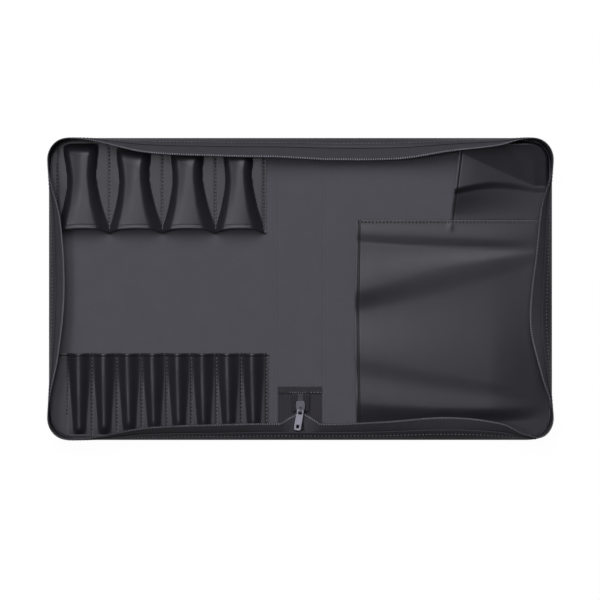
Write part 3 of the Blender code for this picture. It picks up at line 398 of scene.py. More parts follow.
def slab(name, grid, thickness, material, flip=False):
    """A closed sheet round a grid of points, with round edges and a UV map in metres."""
    if flip:
        grid = grid[:, ::-1]
    rows, columns = grid.shape[:2]
    normal = grid_normals(grid)
    half = thickness / 2
    first_out = grid[:, 0] - grid[:, 1]
    first_out /= np.linalg.norm(first_out, axis=1, keepdims=True)
    last_out = grid[:, -1] - grid[:, -2]
    last_out /= np.linalg.norm(last_out, axis=1, keepdims=True)
    loops = [grid + normal * half]
    turn = math.sqrt(0.5) * half
    loops.append((grid[:, -1] + normal[:, -1] * turn + last_out * turn)[:, None])
    loops.append((grid[:, -1] + last_out * half)[:, None])
    loops.append((grid[:, -1] - normal[:, -1] * turn + last_out * turn)[:, None])
    loops.append((grid - normal * half)[:, ::-1])
    loops.append((grid[:, 0] - normal[:, 0] * turn + first_out * turn)[:, None])
    loops.append((grid[:, 0] + first_out * half)[:, None])
    loops.append((grid[:, 0] + normal[:, 0] * turn + first_out * turn)[:, None])
    ring = np.concatenate(loops, axis=1)
    count = ring.shape[1]
    points = ring.reshape(-1, 3)
    i = np.arange(rows - 1)[:, None]
    j = np.arange(count)[None, :]
    k = (j + 1) % count
    row, next_row = i * count, (i + 1) * count
    quads = np.stack([row + j, next_row + j, next_row + k, row + k], axis=-1)
    faces = [tuple(q) for q in quads.reshape(-1, 4)]
    for row, turned in ((0, False), (rows - 1, True)):
        for corners in end_cap(columns, count):
            face = [row * count + v for v in corners]
            face = [v for n, v in enumerate(face) if v not in face[:n]]
            faces.append(tuple(reversed(face)) if turned else tuple(face))
    lengths = np.linalg.norm(np.diff(grid, axis=1), axis=2).mean(axis=0)
    v_grid = np.concatenate([[0.0], np.cumsum(lengths)])
    middle = grid[:, columns // 2]
    u_row = np.concatenate([[0.0], np.cumsum(np.linalg.norm(np.diff(middle, axis=0), axis=1))])
    v_ring = np.concatenate([v_grid, [v_grid[-1]] * 3, v_grid[::-1], [0.0] * 3])
    uv = np.stack(np.broadcast_arrays(u_row[:, None], v_ring[None, :]), axis=-1).reshape(-1, 2)
    return add_piece(name, points, faces, material, uv)


def end_cap(columns, count):
    """Quads across a slab's end: its upper row is met by its lower row, edges included."""
    upper = [count - 1] + list(range(columns)) + [columns]
    lower = [count - 3] + list(range(2 * columns + 2, columns + 2, -1)) + [columns + 2]
    quads = [(upper[n], upper[n + 1], lower[n + 1], lower[n]) for n in range(len(upper) - 1)]
    first = (count - 2, upper[0], lower[0], lower[0])
    last = (upper[-1], columns + 1, lower[-1], lower[-1])
    return [first] + quads + [last]


def cut_from(grid):
    """Works out the size that a piece's modelled surface has when laid flat; the result is not kept.
    """
    down = np.linalg.norm(np.diff(grid, axis=0), axis=2).sum(axis=0)
    over = np.linalg.norm(np.diff(grid, axis=1), axis=2).sum(axis=1)
    first, second = grid[1:, 1:] - grid[:-1, :-1], grid[1:, :-1] - grid[:-1, 1:]
    area = 0.5 * np.linalg.norm(np.cross(first, second), axis=2).sum()
    flat = (float(down.max()), float(over.max()))
    area = min(float(area), flat[0] * flat[1])


def fold_with(piece, side, reach):
    """Bakes a piece's transform; the span between the spine and the cover on its side, over which it
    would bend, is worked out but not used.
    """
    sign = SIDE_SIGN[side]
    start = (sign * (HALF_SPINE + reach), 0.0, FOLD_Z)
    end = (sign * (HALF_SPINE - reach), 0.0, FOLD_Z)
    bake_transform(piece)


# ---- Rows of small pieces -------------------------------------------------------


def row_tree():
    """Geometry nodes that set a small rounded piece at an even pitch along a line.

    Its X axis follows the line, and its Z axis the line's own `up` attribute."""
    tree = bpy.data.node_groups.new("row of pieces", "GeometryNodeTree")
    face = tree.interface
    face.new_socket("Line", in_out="INPUT", socket_type="NodeSocketGeometry")
    for name in ("Pitch", "Length", "Width", "Height", "Lift"):
        face.new_socket(name, in_out="INPUT", socket_type="NodeSocketFloat")
    face.new_socket("Segments", in_out="INPUT", socket_type="NodeSocketInt")
    face.new_socket("Material", in_out="INPUT", socket_type="NodeSocketMaterial")
    face.new_socket("Pieces", in_out="OUTPUT", socket_type="NodeSocketGeometry")
    nodes, links = tree.nodes, tree.links

    def add(kind, inputs, **settings):
        made = nodes.new(kind)
        for key, value in settings.items():
            setattr(made, key, value)
        for key, value in inputs.items():
            if isinstance(value, bpy.types.NodeSocket):
                links.new(value, made.inputs[key])
            else:
                made.inputs[key].default_value = value
        return made.outputs[0]

    align = "FunctionNodeAlignRotationToVector"
    given = nodes.new("NodeGroupInput").outputs
    line = add("GeometryNodeMeshToCurve", {"Mesh": given["Line"]})
    spacing = {"Curve": line, "Length": given["Pitch"]}
    line = add("GeometryNodeResampleCurve", spacing, mode="LENGTH")
    up = add("GeometryNodeInputNamedAttribute", {"Name": "up"}, data_type="FLOAT_VECTOR")
    tangent = add("GeometryNodeInputTangent", {})
    facing = add(align, {"Vector": tangent}, axis="X")
    facing = add(align, {"Rotation": facing, "Vector": up}, axis="Z", pivot_axis="X")
    ball = {"Segments": given["Segments"], "Rings": 4, "Radius": 0.5}
    bead = add("GeometryNodeMeshUVSphere", ball)
    sides = {"X": given["Length"], "Y": given["Width"], "Z": given["Height"]}
    size = add("ShaderNodeCombineXYZ", sides)
    lift = add("ShaderNodeCombineXYZ", {"X": 0.0, "Y": 0.0, "Z": given["Lift"]})
    bead = add("GeometryNodeTransform", {"Geometry": bead, "Scale": size, "Translation": lift})
    spots = {"Points": line, "Instance": bead, "Rotation": facing}
    row = add("GeometryNodeInstanceOnPoints", spots)
    row = add("GeometryNodeRealizeInstances", {"Geometry": row})
    row = add("GeometryNodeSetShadeSmooth", {"Geometry": row})
    row = add("GeometryNodeSetMaterial", {"Geometry": row, "Material": given["Material"]})
    links.new(row, nodes.new("NodeGroupOutput").inputs["Pieces"])
    return tree


ROW_TREE = row_tree()


def row_of_pieces(name, lines, slot, material, **sizes):
    """Small pieces along several lines, each a list of (point, up) pairs."""
    points, ups, edges = [], [], []
    for line in lines:
        start = len(points)
        points += [tuple(p) for p, _ in line]
        ups += [tuple(u) for _, u in line]
        edges += [(start + n, start + n + 1) for n in range(len(line) - 1)]
    mesh = bpy.data.meshes.new(name + " line")
    mesh.from_pydata(points, edges, [])
    attribute = mesh.attributes.new("up", "FLOAT_VECTOR", "POINT")
    attribute.data.foreach_set("vector", np.asarray(ups, dtype=np.float32).ravel())
    holder = bpy.data.objects.new(name + " line", mesh)
    bpy.context.scene.collection.objects.link(holder)
    made = holder.modifiers.new("row", "NODES")
    made.node_group = ROW_TREE
    items = ROW_TREE.interface.items_tree
    sockets = {item.name: item.identifier for item in items if item.in_out == "INPUT"}
    for key, value in {"lift": 0.0, "segments": 6, "material": material, **sizes}.items():
        made[sockets[key.capitalize()]] = value
    graph = bpy.context.evaluated_depsgraph_get()
    solid = bpy.data.meshes.new_from_object(holder.evaluated_get(graph), depsgraph=graph)
    solid.name = name
    bpy.data.objects.remove(holder)
    piece = bpy.data.objects.new(name, solid)
    bpy.context.scene.collection.objects.link(piece)
    return piece


def stitch_rows(name, lines, side=None, body=None, reach=PANEL_FOLD_REACH, thread=THREAD_AND_HIGHLIGHT):
    """Thread beads, whose light colour is partly a painted highlight, and between them near-black
    beads that paint the shade in each needle hole, along the same lines.

    On a side their transform is baked in place, or else they ride on a body."""
    shifted = [shift_line(line, STITCH_PITCH / 2) for line in lines]
    for part, places, material, sizes in (
        ("thread", lines, thread, STITCH_THREAD),
        # The second row is painted shade: dark beads where each needle hole lies.
        ("holes", shifted, HOLE_SHADE, HOLE_SHADE_BEAD),
    ):
        piece = row_of_pieces(
            f"{name}_{part}", places, "woven_tape", material, pitch=STITCH_PITCH, **sizes
        )
        if side:
            fold_with(piece, side, reach)
        else:
            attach(piece, body)


def shift_line(line, distance):
    """The same line, started `distance` further along."""
    left = distance
    for n in range(len(line) - 1):
        here, ahead = Vector(line[n][0]), Vector(line[n + 1][0])
        step = (ahead - here).length
        if step > left:
            return [(tuple(here.lerp(ahead, left / step)), line[n][1])] + line[n + 1 :]
        left -= step
    return line


# ---- The zip wall ---------------------------------------------------------------


class Station:
    """A place on the outline, with the wall's cross-section there."""

    def __init__(self, place, inward, lean, droop=0.0):
        self.place, self.inward = Vector((*place, 0.0)), Vector((*inward, 0.0))
        chord = WALL_CHORD + WALL_SLACK * smooth(lean / (10 * MM))
        reach = lean - WALL_INSET
        rise = math.sqrt(chord**2 - reach**2) * (1 - droop)
        self.foot = (WALL_INSET, WALL_FOOT_Z)
        self.top = (lean, WALL_FOOT_Z + rise)
        self.bend = (WALL_INSET - WALL_BULGE + 0.05 * reach, WALL_FOOT_Z + 0.56 * rise)

    def curve(self, share):
        a, b, c = (1 - share) ** 2, 2 * share * (1 - share), share**2
        return tuple(a * f + b * m + c * t for f, m, t in zip(self.foot, self.bend, self.top))

    def slope(self, share):
        sides = zip(self.foot, self.bend, self.top)
        n, z = (2 * (1 - share) * (m - f) + 2 * share * (t - m) for f, m, t in sides)
        size = math.hypot(n, z)
        return n / size, z / size

    def world(self, n, z):
        return self.place + self.inward * n + Vector((0.0, 0.0, z))

    def at(self, share, offset=0.0):
        """A point of the wall, `offset` outside its middle surface."""
        n, z = self.curve(share)
        slope_n, slope_z = self.slope(share)
        return self.world(n - slope_z * offset, z + slope_n * offset)

    def out(self, share):
        """The outward normal of the wall."""
        slope_n, slope_z = self.slope(share)
        return (self.inward * -slope_z + Vector((0.0, 0.0, slope_n))).normalized()


def lean_at(side, run, share):
    return through(LEANS[side, run], share) * MM


def run_station(side, end, x):
    """A station on the straight top (end 1) or bottom (end -1) run, spine included."""
    run = "top" if end > 0 else "bottom"
    if abs(x) < HALF_SPINE:
        share = (x + HALF_SPINE) / (2 * HALF_SPINE)
        lean = mix(lean_at("left", run, 1.0), lean_at("right", run, 1.0), share)
        droop = 0.0 if end > 0 else BOTTOM_DROOP
    else:
        share = (HALF_WIDTH - CORNER_RADIUS - abs(x)) / (COVER_WIDTH - CORNER_RADIUS)
        lean = lean_at(side, run, share)
        droop = 0.0 if end > 0 else BOTTOM_DROOP * float(smooth((share - 0.75) / 0.25))
    return Station((x, end * HALF_HEIGHT), (0, -end), lean, droop)


def corner_station(side, end, share):
    """A station on a round corner; share runs from the straight run (0) to the side (1)."""
    sign = SIDE_SIGN[side]
    angle = math.radians(90 * share)
    out = (sign * math.sin(angle), end * math.cos(angle))
    centre = (sign * (HALF_WIDTH - CORNER_RADIUS), end * (HALF_HEIGHT - CORNER_RADIUS))
    place = (centre[0] + CORNER_RADIUS * out[0], centre[1] + CORNER_RADIUS * out[1])
    run_lean = lean_at(side, "top" if end > 0 else "bottom", 0.0)
    side_lean = lean_at(side, "side", 1.0 if end > 0 else 0.0)
    start = run_lean * (1 - min(1.0, 2 * share)) ** 2
    finish = side_lean * (1 - min(1.0, 2 * (1 - share))) ** 2
    lean = start + finish - WALL_FLARE * math.sin(math.pi * share)
    return Station(place, (-out[0], -out[1]), lean)


def wall_stations(side, step=4.0 * MM, bottom_from=0.0):
    """Stations from the bottom of the spine, round the cover's outer edge, to the spine's top."""
    sign = SIDE_SIGN[side]
    corner_x, corner_y = HALF_WIDTH - CORNER_RADIUS, HALF_HEIGHT - CORNER_RADIUS
    stations = []
    count = math.ceil((corner_x - bottom_from) / step)
    for k in range(count + 1):
        stations.append(run_station(side, -1, sign * mix(bottom_from, corner_x, k / count)))
    arc = 12
    stations += [corner_station(side, -1, k / arc) for k in range(1, arc)]
    count = math.ceil(2 * corner_y / step)
    for k in range(count + 1):
        place = (sign * HALF_WIDTH, mix(-corner_y, corner_y, k / count))
        stations.append(Station(place, (-sign, 0), lean_at(side, "side", k / count)))
    stations += [corner_station(side, 1, k / arc) for k in range(arc - 1, 0, -1)]
    count = math.ceil(corner_x / step)
    for k in range(count + 1):
        stations.append(run_station(side, 1, sign * mix(corner_x, 0.0, k / count)))
    return stations


def end_chain(side, share):
    """The row of teeth from the spine's wall (share 0) down to the slider's mouth (share 1)."""
    sign = SIDE_SIGN[side]
    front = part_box("slider_body")[0].y
    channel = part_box("zip_tail_teeth")
    middle = (channel[0].z + channel[1].z) / 2
    start = run_station(side, -1, sign * SPINE_WALL_HALF).at(1.0, TAPE_OFFSET)
    finish = Vector((sign * CHAIN_END_X, front - CHAIN_END_GAP, middle))
    bend = Vector((sign * CHAIN_BEND_X, front - CHAIN_BEND_DROP, middle + 1.0 * MM))
    return start * (1 - share) ** 2 + bend * 2 * share * (1 - share) + finish * share**2


def tape_rows(side, columns=9, tent_rows=14):
    """The tape's middle surface: a row of points, from its lap to its teeth, at each station.

    Beside the slider it leaves the wall, as a tent that hangs between its lap and its teeth."""
    across = [n / (columns - 1) for n in range(columns)]
    rows = []
    for k in range(tent_rows, 0, -1):
        share = k / tent_rows
        station = run_station(side, -1, SIDE_SIGN[side] * mix(SPINE_WALL_HALF, TENT_END_X, share))
        top = end_chain(side, share)
        low = station.at(TAPE_FOOT, TAPE_OFFSET)
        pull = top - station.at(1.0, TAPE_OFFSET)
        row = []
        for s in across:
            sag = Vector((0, 0, TENT_BELLY * math.sin(math.pi * s) * (1 - share)))
            on_wall = station.at(mix(TAPE_FOOT, 1.0, s), TAPE_OFFSET) + pull * s**1.5
            row.append(on_wall.lerp(low.lerp(top, s) + sag, float(smooth(share * 2.0))))
        rows.append(row)
    for station in wall_stations(side, bottom_from=SPINE_WALL_HALF):
        rows.append([station.at(mix(TAPE_FOOT, 1.0, s), TAPE_OFFSET) for s in across])
    return rows


def build_wall(side):
    """The strip, tape, teeth and stitches on one half of the zip wall."""
    stations = wall_stations(side)
    flip = side == "left"
    shares = [mix(0.0, STRIP_SHARE, n / 8) for n in range(9)]
    grid = np.array([[station.at(s) for s in shares] for station in stations])
    strip = slab(f"{side}_wall_strip", grid, STRIP_THICKNESS, STRIP, flip)
    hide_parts(f"{side}_wall")
    fold_with(strip, side, WALL_FOLD_REACH)
    cut_from(grid)

    rows = tape_rows(side)
    grid = np.array(rows)
    tape = slab(f"{side}_tape", grid, TAPE_THICKNESS, TAPE, flip)
    cut_from(grid)
    parts = ("zip_tape", "tape_end", "top_fold", "bottom_fold")
    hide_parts(*(f"{side}_{part}" for part in parts))
    fold_with(tape, side, WALL_FOLD_REACH)

    ups = [(row[-1] - row[-2]).normalized() for row in rows]
    line = [(tuple(row[-1] - up * TOOTH_DROP), tuple(up)) for row, up in zip(rows, ups)]
    # The teeth's pale colour is a painted highlight on dark coil.
    teeth = row_of_pieces(
        f"{side}_coil", [line], "zip_teeth", COIL_AND_HIGHLIGHT, pitch=TOOTH_PITCH, **TOOTH_BEAD
    )
    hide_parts(f"{side}_zip_teeth", f"{side}_teeth_end")
    fold_with(teeth, side, WALL_FOLD_REACH)

    share = STRIP_SHARE - STITCH_DROP
    seam = [(tuple(s.at(share, STRIP_THICKNESS / 2)), tuple(s.out(share))) for s in stations]
    stitch_rows(f"{side}_wall_seam", [seam], side=side, reach=WALL_FOLD_REACH, thread=PALE_THREAD)


# ---- Panels ---------------------------------------------------------------------


def reach_of_outline(place, inset, half_along, half_over):
    """How far the outline, drawn in by `inset`, lies from the middle, at a place along the case."""
    past = np.abs(place) - (half_along - CORNER_RADIUS)
    arc = np.sqrt(np.maximum(0.0, (CORNER_RADIUS - inset) ** 2 - np.maximum(0.0, past) ** 2))
    return np.where(past > 0, half_over - CORNER_RADIUS + arc, half_over - inset)


def outline_reach(x, inset):
    return reach_of_outline(x, inset, HALF_WIDTH, HALF_HEIGHT)


def side_reach(y, inset):
    return reach_of_outline(y, inset, HALF_HEIGHT, HALF_WIDTH)


def panel_columns(side, inset, step=3.0 * MM):
    """X places from the middle of the spine to the outer edge, close together at both."""
    straight = np.arange(0.0, HALF_SPINE + 16 * MM, 0.75 * MM)
    middle = np.arange(straight[-1] + step, HALF_WIDTH - CORNER_RADIUS, step)
    angles = np.radians(np.linspace(0, 90, 14))
    corner = HALF_WIDTH - CORNER_RADIUS + (CORNER_RADIUS - inset) * np.sin(angles)
    return SIDE_SIGN[side] * np.concatenate([straight, middle, corner])


def build_panel(name, side, inset, bottom, top, material, shape=None):
    """Half of a sheet that covers the spine and one cover."""
    xs = panel_columns(side, inset)[:, None]
    even = np.linspace(-1, 1, 61)
    shares = 0.35 * np.sin(even * math.pi * 0.4995) + 0.65 * even  # closer together at the edges
    ys = outline_reach(xs, inset + (top - bottom) / 2) * shares
    zs = (bottom + top) / 2
    grid = surface(xs, ys, zs + shape(xs, ys) if shape else zs)
    piece = slab(name, grid, top - bottom, material, flip=side == "right")
    cut_from(grid)
    fold_with(piece, side, PANEL_FOLD_REACH)
    return piece


def lining_shape(x, y):
    """Two shallow creases beside each fold line, and the lining's faint slackness."""
    creases = bell(np.abs(x), 24.0 * MM, 0.6 * MM) + 0.7 * bell(np.abs(x), 27.2 * MM, 0.6 * MM)
    slack = np.sin(x / (31 * MM) + 1.3) * np.sin(y / (43 * MM) + 0.4)
    return -0.40 * MM * creases + 0.10 * MM * slack


def build_panels(side):
    hide = build_panel(f"{side}_hide", side, 0.0, 0.0, SKIN_TOP, HIDE)
    lining = build_panel(
        f"{side}_lining_sheet", side, LINING_INSET, LINING_BOTTOM, LINING_TOP, LINING,
        lining_shape,
    )
    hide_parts(f"{side}_cover_skin")
    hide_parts(f"{side}_lining")
    if side == "left":
        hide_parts("spine_skin")
        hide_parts("spine_lining")


# ---- Pockets --------------------------------------------------------------------


def ridge_between(across, valley, roundness):
    """A pocket's cross-section: a round crown from which the sheet hangs, ever less steeply, to
    0 over the valley at each seam.

    across runs from -1 at the seam on its right to 1 at the seam on its left."""
    reach = np.minimum(1.0, np.abs(across) / (1 - valley))
    fall = (np.hypot(reach, roundness) - roundness) / (math.hypot(1.0, roundness) - roundness)
    return (1 - fall) ** 2


def climb(share):
    """A rise that starts at a crease and flattens out softly."""
    share = np.clip(share, 0.0, 1.0)
    return mix(smooth(share), 1 - (1 - share) ** 2.4, 0.7)


def strip_columns(seams, far_x, step):
    """X places over a strip of pockets, and where each lies between its two seams."""
    xs, pocket, across = [seams[0] + SEAM_MARGIN, seams[0] + 1.2 * MM], [0, 0], [-1.0, -1.0]
    for k in range(len(seams) - 1):
        count = math.ceil((seams[k] - seams[k + 1]) / step)
        for n in range(count):
            xs.append(mix(seams[k], seams[k + 1], n / count))
            pocket.append(k)
            across.append(-1 + 2 * n / count)
    count = max(2, math.ceil(abs(far_x - seams[-1]) / step))
    for n in range(count + 1):
        xs.append(mix(seams[-1], far_x, n / count))
        pocket.append(len(seams) - 2)
        across.append(1.0)
    return np.array(xs), np.array(pocket), np.array(across)


TOOL_STRIP_END = 11.7 * MM  # of a strip's last seam from the fold line
TOOL_WIDTH = 56.2 * MM
TOOL_LAST_WIDTH = 51.0 * MM
TOOL_MOUTH_Y = 58.6 * MM
TOOL_RISE = 12.0 * MM
TOOL_DRAWBACK = 5.0 * MM
# The flat valleys beside a tool pocket's seams, as (share of its length, share of half its width)
TOOL_LEFT_VALLEY = ((0, 0.26), (0.42, 0.40), (0.67, 0.28), (0.86, 0.11), (0.94, 0.03), (1, 0))
TOOL_RIGHT_VALLEY = ((0, 0.42), (0.39, 0.51), (0.67, 0.33), (0.86, 0.12), (0.94, 0.03), (1, 0))
SLEEVE_STRIP_END = 9.1 * MM
SLEEVE_WIDTH = 26.34 * MM
SLEEVE_MOUTH_Y = -68.3 * MM
SLEEVE_RISE = 7.4 * MM
SLEEVE_DRAWBACK = 0.5 * MM
SEAM_PULL = 0.30 * MM  # how deep a seam's stitches draw the sheet in


def tool_seams():
    last = -(HALF_SPINE + TOOL_STRIP_END)
    seams = [last] + [last - TOOL_LAST_WIDTH - k * TOOL_WIDTH for k in range(3)]
    return seams + [-(HALF_WIDTH - SEAM_INSET - SEAM_MARGIN)]


def sleeve_seams():
    last = -(HALF_SPINE + SLEEVE_STRIP_END)
    return [last - k * SLEEVE_WIDTH for k in range(9)]


def lean_above(x, run):
    share = (HALF_WIDTH - CORNER_RADIUS - np.abs(x)) / (COVER_WIDTH - CORNER_RADIUS)
    return np.array([lean_at("left", run, value) for value in share])


def tool_lift(x, pocket, across, along, from_seam):
    """Height of the tool strip, as a share of its rise.

    Its sheet climbs steeply beside each valley, and on the left goes on climbing gently to the
    crest. It swells from the sewn edge, sooner where the wall above stands upright."""
    opened = smooth((along - 0.4) / 0.6)
    crest = mix(-0.22, 0.08, along) + 0.04 * np.sin(pocket * 2.1)
    waver = 0.03 * np.sin(pocket * 1.7 + along * 4.0) * (1 - along)
    foot = 1 - through(TOOL_LEFT_VALLEY, along) - waver
    run, shoulder = mix(0.22, 0.36, opened), mix(0.64, 0.90, along)
    start = foot - 0.3 * run
    gentle = smooth((start - across) / (start - crest))
    left = shoulder * climb((foot - across) / run) + (1 - shoulder) * gentle
    right = climb((1 - through(TOOL_RIGHT_VALLEY, along) + across) / mix(0.36, 0.54, opened))
    section = np.where(across > crest, left, right) * (1 - 0.32 * (across - crest) ** 2)
    length = mix(12.0 * MM, 26.0 * MM, smooth(lean_above(x, "top") / (15 * MM)))
    return section * climb(from_seam / length) * mix(0.90, 1.0, along)


def sleeve_lift(x, pocket, across, along, from_seam):
    """Height of the sleeve strip; its crowns lean to the left towards their mouths."""
    across = np.clip(across, -1, 1)
    shifted = across - 0.14 * along * (1 - across**2) * np.where(pocket < 6, 1.0, 0.3)
    valley = mix(0.42, 0.06, smooth(along * 1.05))
    slack = 0.055 * np.minimum(1.0, (1 - np.abs(across)) / valley)
    section = slack + (1 - slack) * ridge_between(shifted, valley, 1.6)
    length = mix(7.0 * MM, 15.0 * MM, smooth(lean_above(x, "bottom") / (14 * MM)))
    ripple = 1 + 0.03 * np.sin(along * 9.0 + pocket * 2.3)
    return section * climb(from_seam / length) * mix(0.66, 1.0, along) * ripple


def hem_height(from_mouth, width):
    """A turned hem: a low step and a groove where it ends, and a bead close to its folded edge."""
    step = 0.25 * MM * smooth((width - from_mouth) / (0.7 * MM))
    bead = 0.34 * MM * bell(from_mouth, 1.3 * MM, 1.0 * MM)
    return step + bead - 0.15 * MM * bell(from_mouth, width, 0.5 * MM)


def pocket_sheet(name, node, side, grid, flip=False):
    """A pocket's sheet, sewn to the lining of one cover."""
    piece = slab(name, grid, SHEET, POCKET, flip)
    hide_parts(node)
    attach(piece, COVER[side])
    cut_from(grid)


def sheet_points(xs, ys, lift):
    """The middle surface of a pocket's sheet that stands `lift` above where it lies flat."""
    return surface(xs, ys, SHEET_TOP - SHEET / 2 + lift)


UP = (0.0, 0.0, 1.0)


def straight_line(start, stop, z, count):
    """A level line of (point, up) pairs."""
    xs, ys = (np.linspace(a, b, count + 1) for a, b in zip(start, stop))
    return [((x, y, z), UP) for x, y in zip(xs, ys)]


def pocket_strip(name, node, seams, end, mouth_y, rise, drawback, lift_at, step, hem):
    """One sheet, sewn down between its pockets, with a turned hem along its mouth.

    It hangs from the case's top (end 1) or bottom (end -1) edge."""
    xs, pocket, across = strip_columns(seams, -(HALF_WIDTH - EDGE_INSET), step)
    alongs = np.concatenate(
        [np.linspace(0, 0.10, 18), np.linspace(0.11, 0.93, 56), np.linspace(0.935, 1.0, 20)]
    )
    edge = end * outline_reach(xs, EDGE_INSET)
    length = abs(mouth_y - end * (HALF_HEIGHT - EDGE_INSET))
    pulled = SEAM_PULL * bell(1 - np.abs(across), 0.0, 0.06)
    columns = []
    for along in alongs:
        ys = mix(edge, mouth_y, along)
        from_seam = np.abs(edge - ys) - (SEAM_INSET - EDGE_INSET)
        lift = lift_at(xs, pocket, across, along, from_seam)
        height = rise * lift + hem_height((1 - along) * length, hem) - pulled
        columns.append(sheet_points(xs, ys + end * drawback * lift * along**3, height))
    pocket_sheet(name, node, "left", np.stack(columns, axis=1), flip=end > 0)
    lines = []
    for seam in seams:
        round_corner = seam < -(HALF_WIDTH - CORNER_RADIUS)
        inset = CORNER_RADIUS if round_corner else SEAM_INSET + 3 * MM
        start, stop = (seam, end * (HALF_HEIGHT - inset)), (seam, mouth_y + end * 1.5 * MM)
        lines.append(straight_line(start, stop, SHEET_TOP - 0.28 * MM, 20))
    stitch_rows(name + "_seams", lines, body="left_cover")


LARGE_POCKET_X = 58.4 * MM
LARGE_POCKET_TOP = 73.0 * MM
LARGE_POCKET_HEM = 4.4 * MM
LARGE_POCKET_FADE = 62 * MM  # of its far side, in which its folds come down to its seam
FOLDS_FAR_X = HALF_WIDTH - 22 * MM
# The crests and valleys of its folds, from the top down: the Y and the height of each, in
# millimetres, at the mouth, half way along and at the far side
LARGE_FOLDS = (
    ((71.5, 71.5, 71.5), (0.0, 0.0, 0.0)),
    ((60.0, 56.0, 52.0), (1.0, 1.0, 1.0)),
    ((50.0, 44.5, 42.0), (0.3, 0.1, 0.0)),
    ((-1.0, 21.0, 35.0), (3.8, 2.8, 0.8)),
    ((-26.0, -6.0, 24.0), (1.1, 1.6, 0.3)),
    ((-70.0, -88.0, -106.0), (4.8, 4.7, 3.4)),
    ((-92.0, -106.0, -116.0), (3.9, 4.0, 3.1)),
    ((-118.0, -125.0, -125.0), (4.9, 4.8, 3.7)),
    ((-150.0, -145.0, -139.0), (0.6, 0.3, 0.3)),
    ((-156.2, -156.2, -156.2), (0.0, 0.0, 0.0)),
)


def bowed(values, share):
    """A smooth curve through three values, at shares 0, 1/2 and 1."""
    first, middle, last = values
    bend = 2 * (first + last - 2 * middle)
    return first + share * (4 * middle - 3 * first - last) + share**2 * bend


def large_pocket_lift(x, y):
    """Soft folds that run from the mouth, and draw together at the far side."""
    share = np.clip((x - LARGE_POCKET_X) / (FOLDS_FAR_X - LARGE_POCKET_X), 0.0, 1.0)
    folds = [(bowed(place, share) * MM, bowed(height, share) * MM) for place, height in LARGE_FOLDS]
    lift = np.zeros_like(share)
    for (top, upper), (bottom, lower) in zip(folds, folds[1:]):
        down = (top - y) / (top - bottom)
        lift = np.where((down >= 0) & (down < 1), mix(upper, lower, smooth(down)), lift)
    crease = 0.5 * MM * bell(y, folds[2][0], 1.8 * MM) * mix(0.3, 1.0, share)
    fade = smooth((HALF_WIDTH - SEAM_INSET - x) / LARGE_POCKET_FADE) ** 0.7
    return np.maximum(0.0, lift - crease) * fade


def build_large_pocket():
    shares = np.concatenate([np.linspace(0, 0.035, 20), np.linspace(0.04, 1.0, 100)])
    columns = []
    for y in np.linspace(-HALF_HEIGHT + EDGE_INSET, LARGE_POCKET_TOP, 150):
        xs = mix(LARGE_POCKET_X, float(side_reach(y, EDGE_INSET)), shares)
        lift = large_pocket_lift(xs, y) + hem_height(xs - LARGE_POCKET_X, LARGE_POCKET_HEM)
        # A pucker under the lower end of the corner pocket's mouth
        pucker = bell(xs, CORNER_POCKET_X - 0.3 * MM, 2.4 * MM)
        pucker = 0.7 * MM * pucker * bell(y, LARGE_POCKET_TOP - 7.5 * MM, 4.0 * MM)
        bow = 0.9 * MM * math.sin((y - 20 * MM) / (34 * MM)) * (1 - shares) ** 12
        columns.append(sheet_points(xs + bow, y, lift + pucker))
    pocket_sheet("large_pocket_sheet", "large_pocket", "right", np.stack(columns, axis=1))
    seam_y = LARGE_POCKET_TOP - 2.4 * MM
    start, stop = (LARGE_POCKET_X + 1 * MM, seam_y), (HALF_WIDTH - SEAM_INSET, seam_y)
    line = straight_line(start, stop, SHEET_TOP + 0.02 * MM, 30)
    stitch_rows("large_pocket_seam", [line], body="right_cover")


# The corner pocket's mouth slants to the right from its lower end. A ridge and the brink of the
# facet below it run from the mouth to the far side, as (Y at the mouth, Y at the far side).
CORNER_POCKET_X = 158.8 * MM
CORNER_POCKET_SLANT = 9.0 * MM
CORNER_POCKET_BOTTOM = LARGE_POCKET_TOP + 0.6 * MM
CORNER_MOUTH_TOP = 145 * MM
CORNER_RISE = 7.2 * MM
RIDGE_Y = (144 * MM, 109 * MM)
BRINK_Y = (106 * MM, 108 * MM)
BRINK_BOW = 6.5 * MM


def corner_pocket_lift(across, x, y):
    """A slanting crease from the mouth's top end to the far side, with a level facet below it
    and a slope that climbs from it to the round corner."""
    reach = np.minimum(1.0, across / 0.84)
    ridge_y = mix(*RIDGE_Y, reach)
    brink_y = mix(*BRINK_Y, reach) + BRINK_BOW * np.sin(math.pi * reach)
    brink_y = np.minimum(ridge_y - 0.5 * MM, brink_y)
    ridge = CORNER_RISE * (1 - 0.80 * smooth(across / 0.95))
    brink = ridge + (ridge_y - brink_y) * 0.04
    side_room = smooth((side_reach(y, EDGE_INSET) - x) / (3 * MM))
    room = smooth((outline_reach(x, EDGE_INSET) - y) / (3 * MM))
    above = (ridge + 0.22 * (y - ridge_y)) * room
    facet = mix(brink, ridge, np.clip((y - brink_y) / (ridge_y - brink_y), 0, 1))
    drop = np.clip((brink_y - y) / (brink_y - CORNER_POCKET_BOTTOM), 0, 1)
    below = brink * (1 - 0.45 * smooth(drop / 0.20) - 0.55 * smooth(drop))
    return np.where(y >= ridge_y, above, np.where(y >= brink_y, facet, below)) * side_room


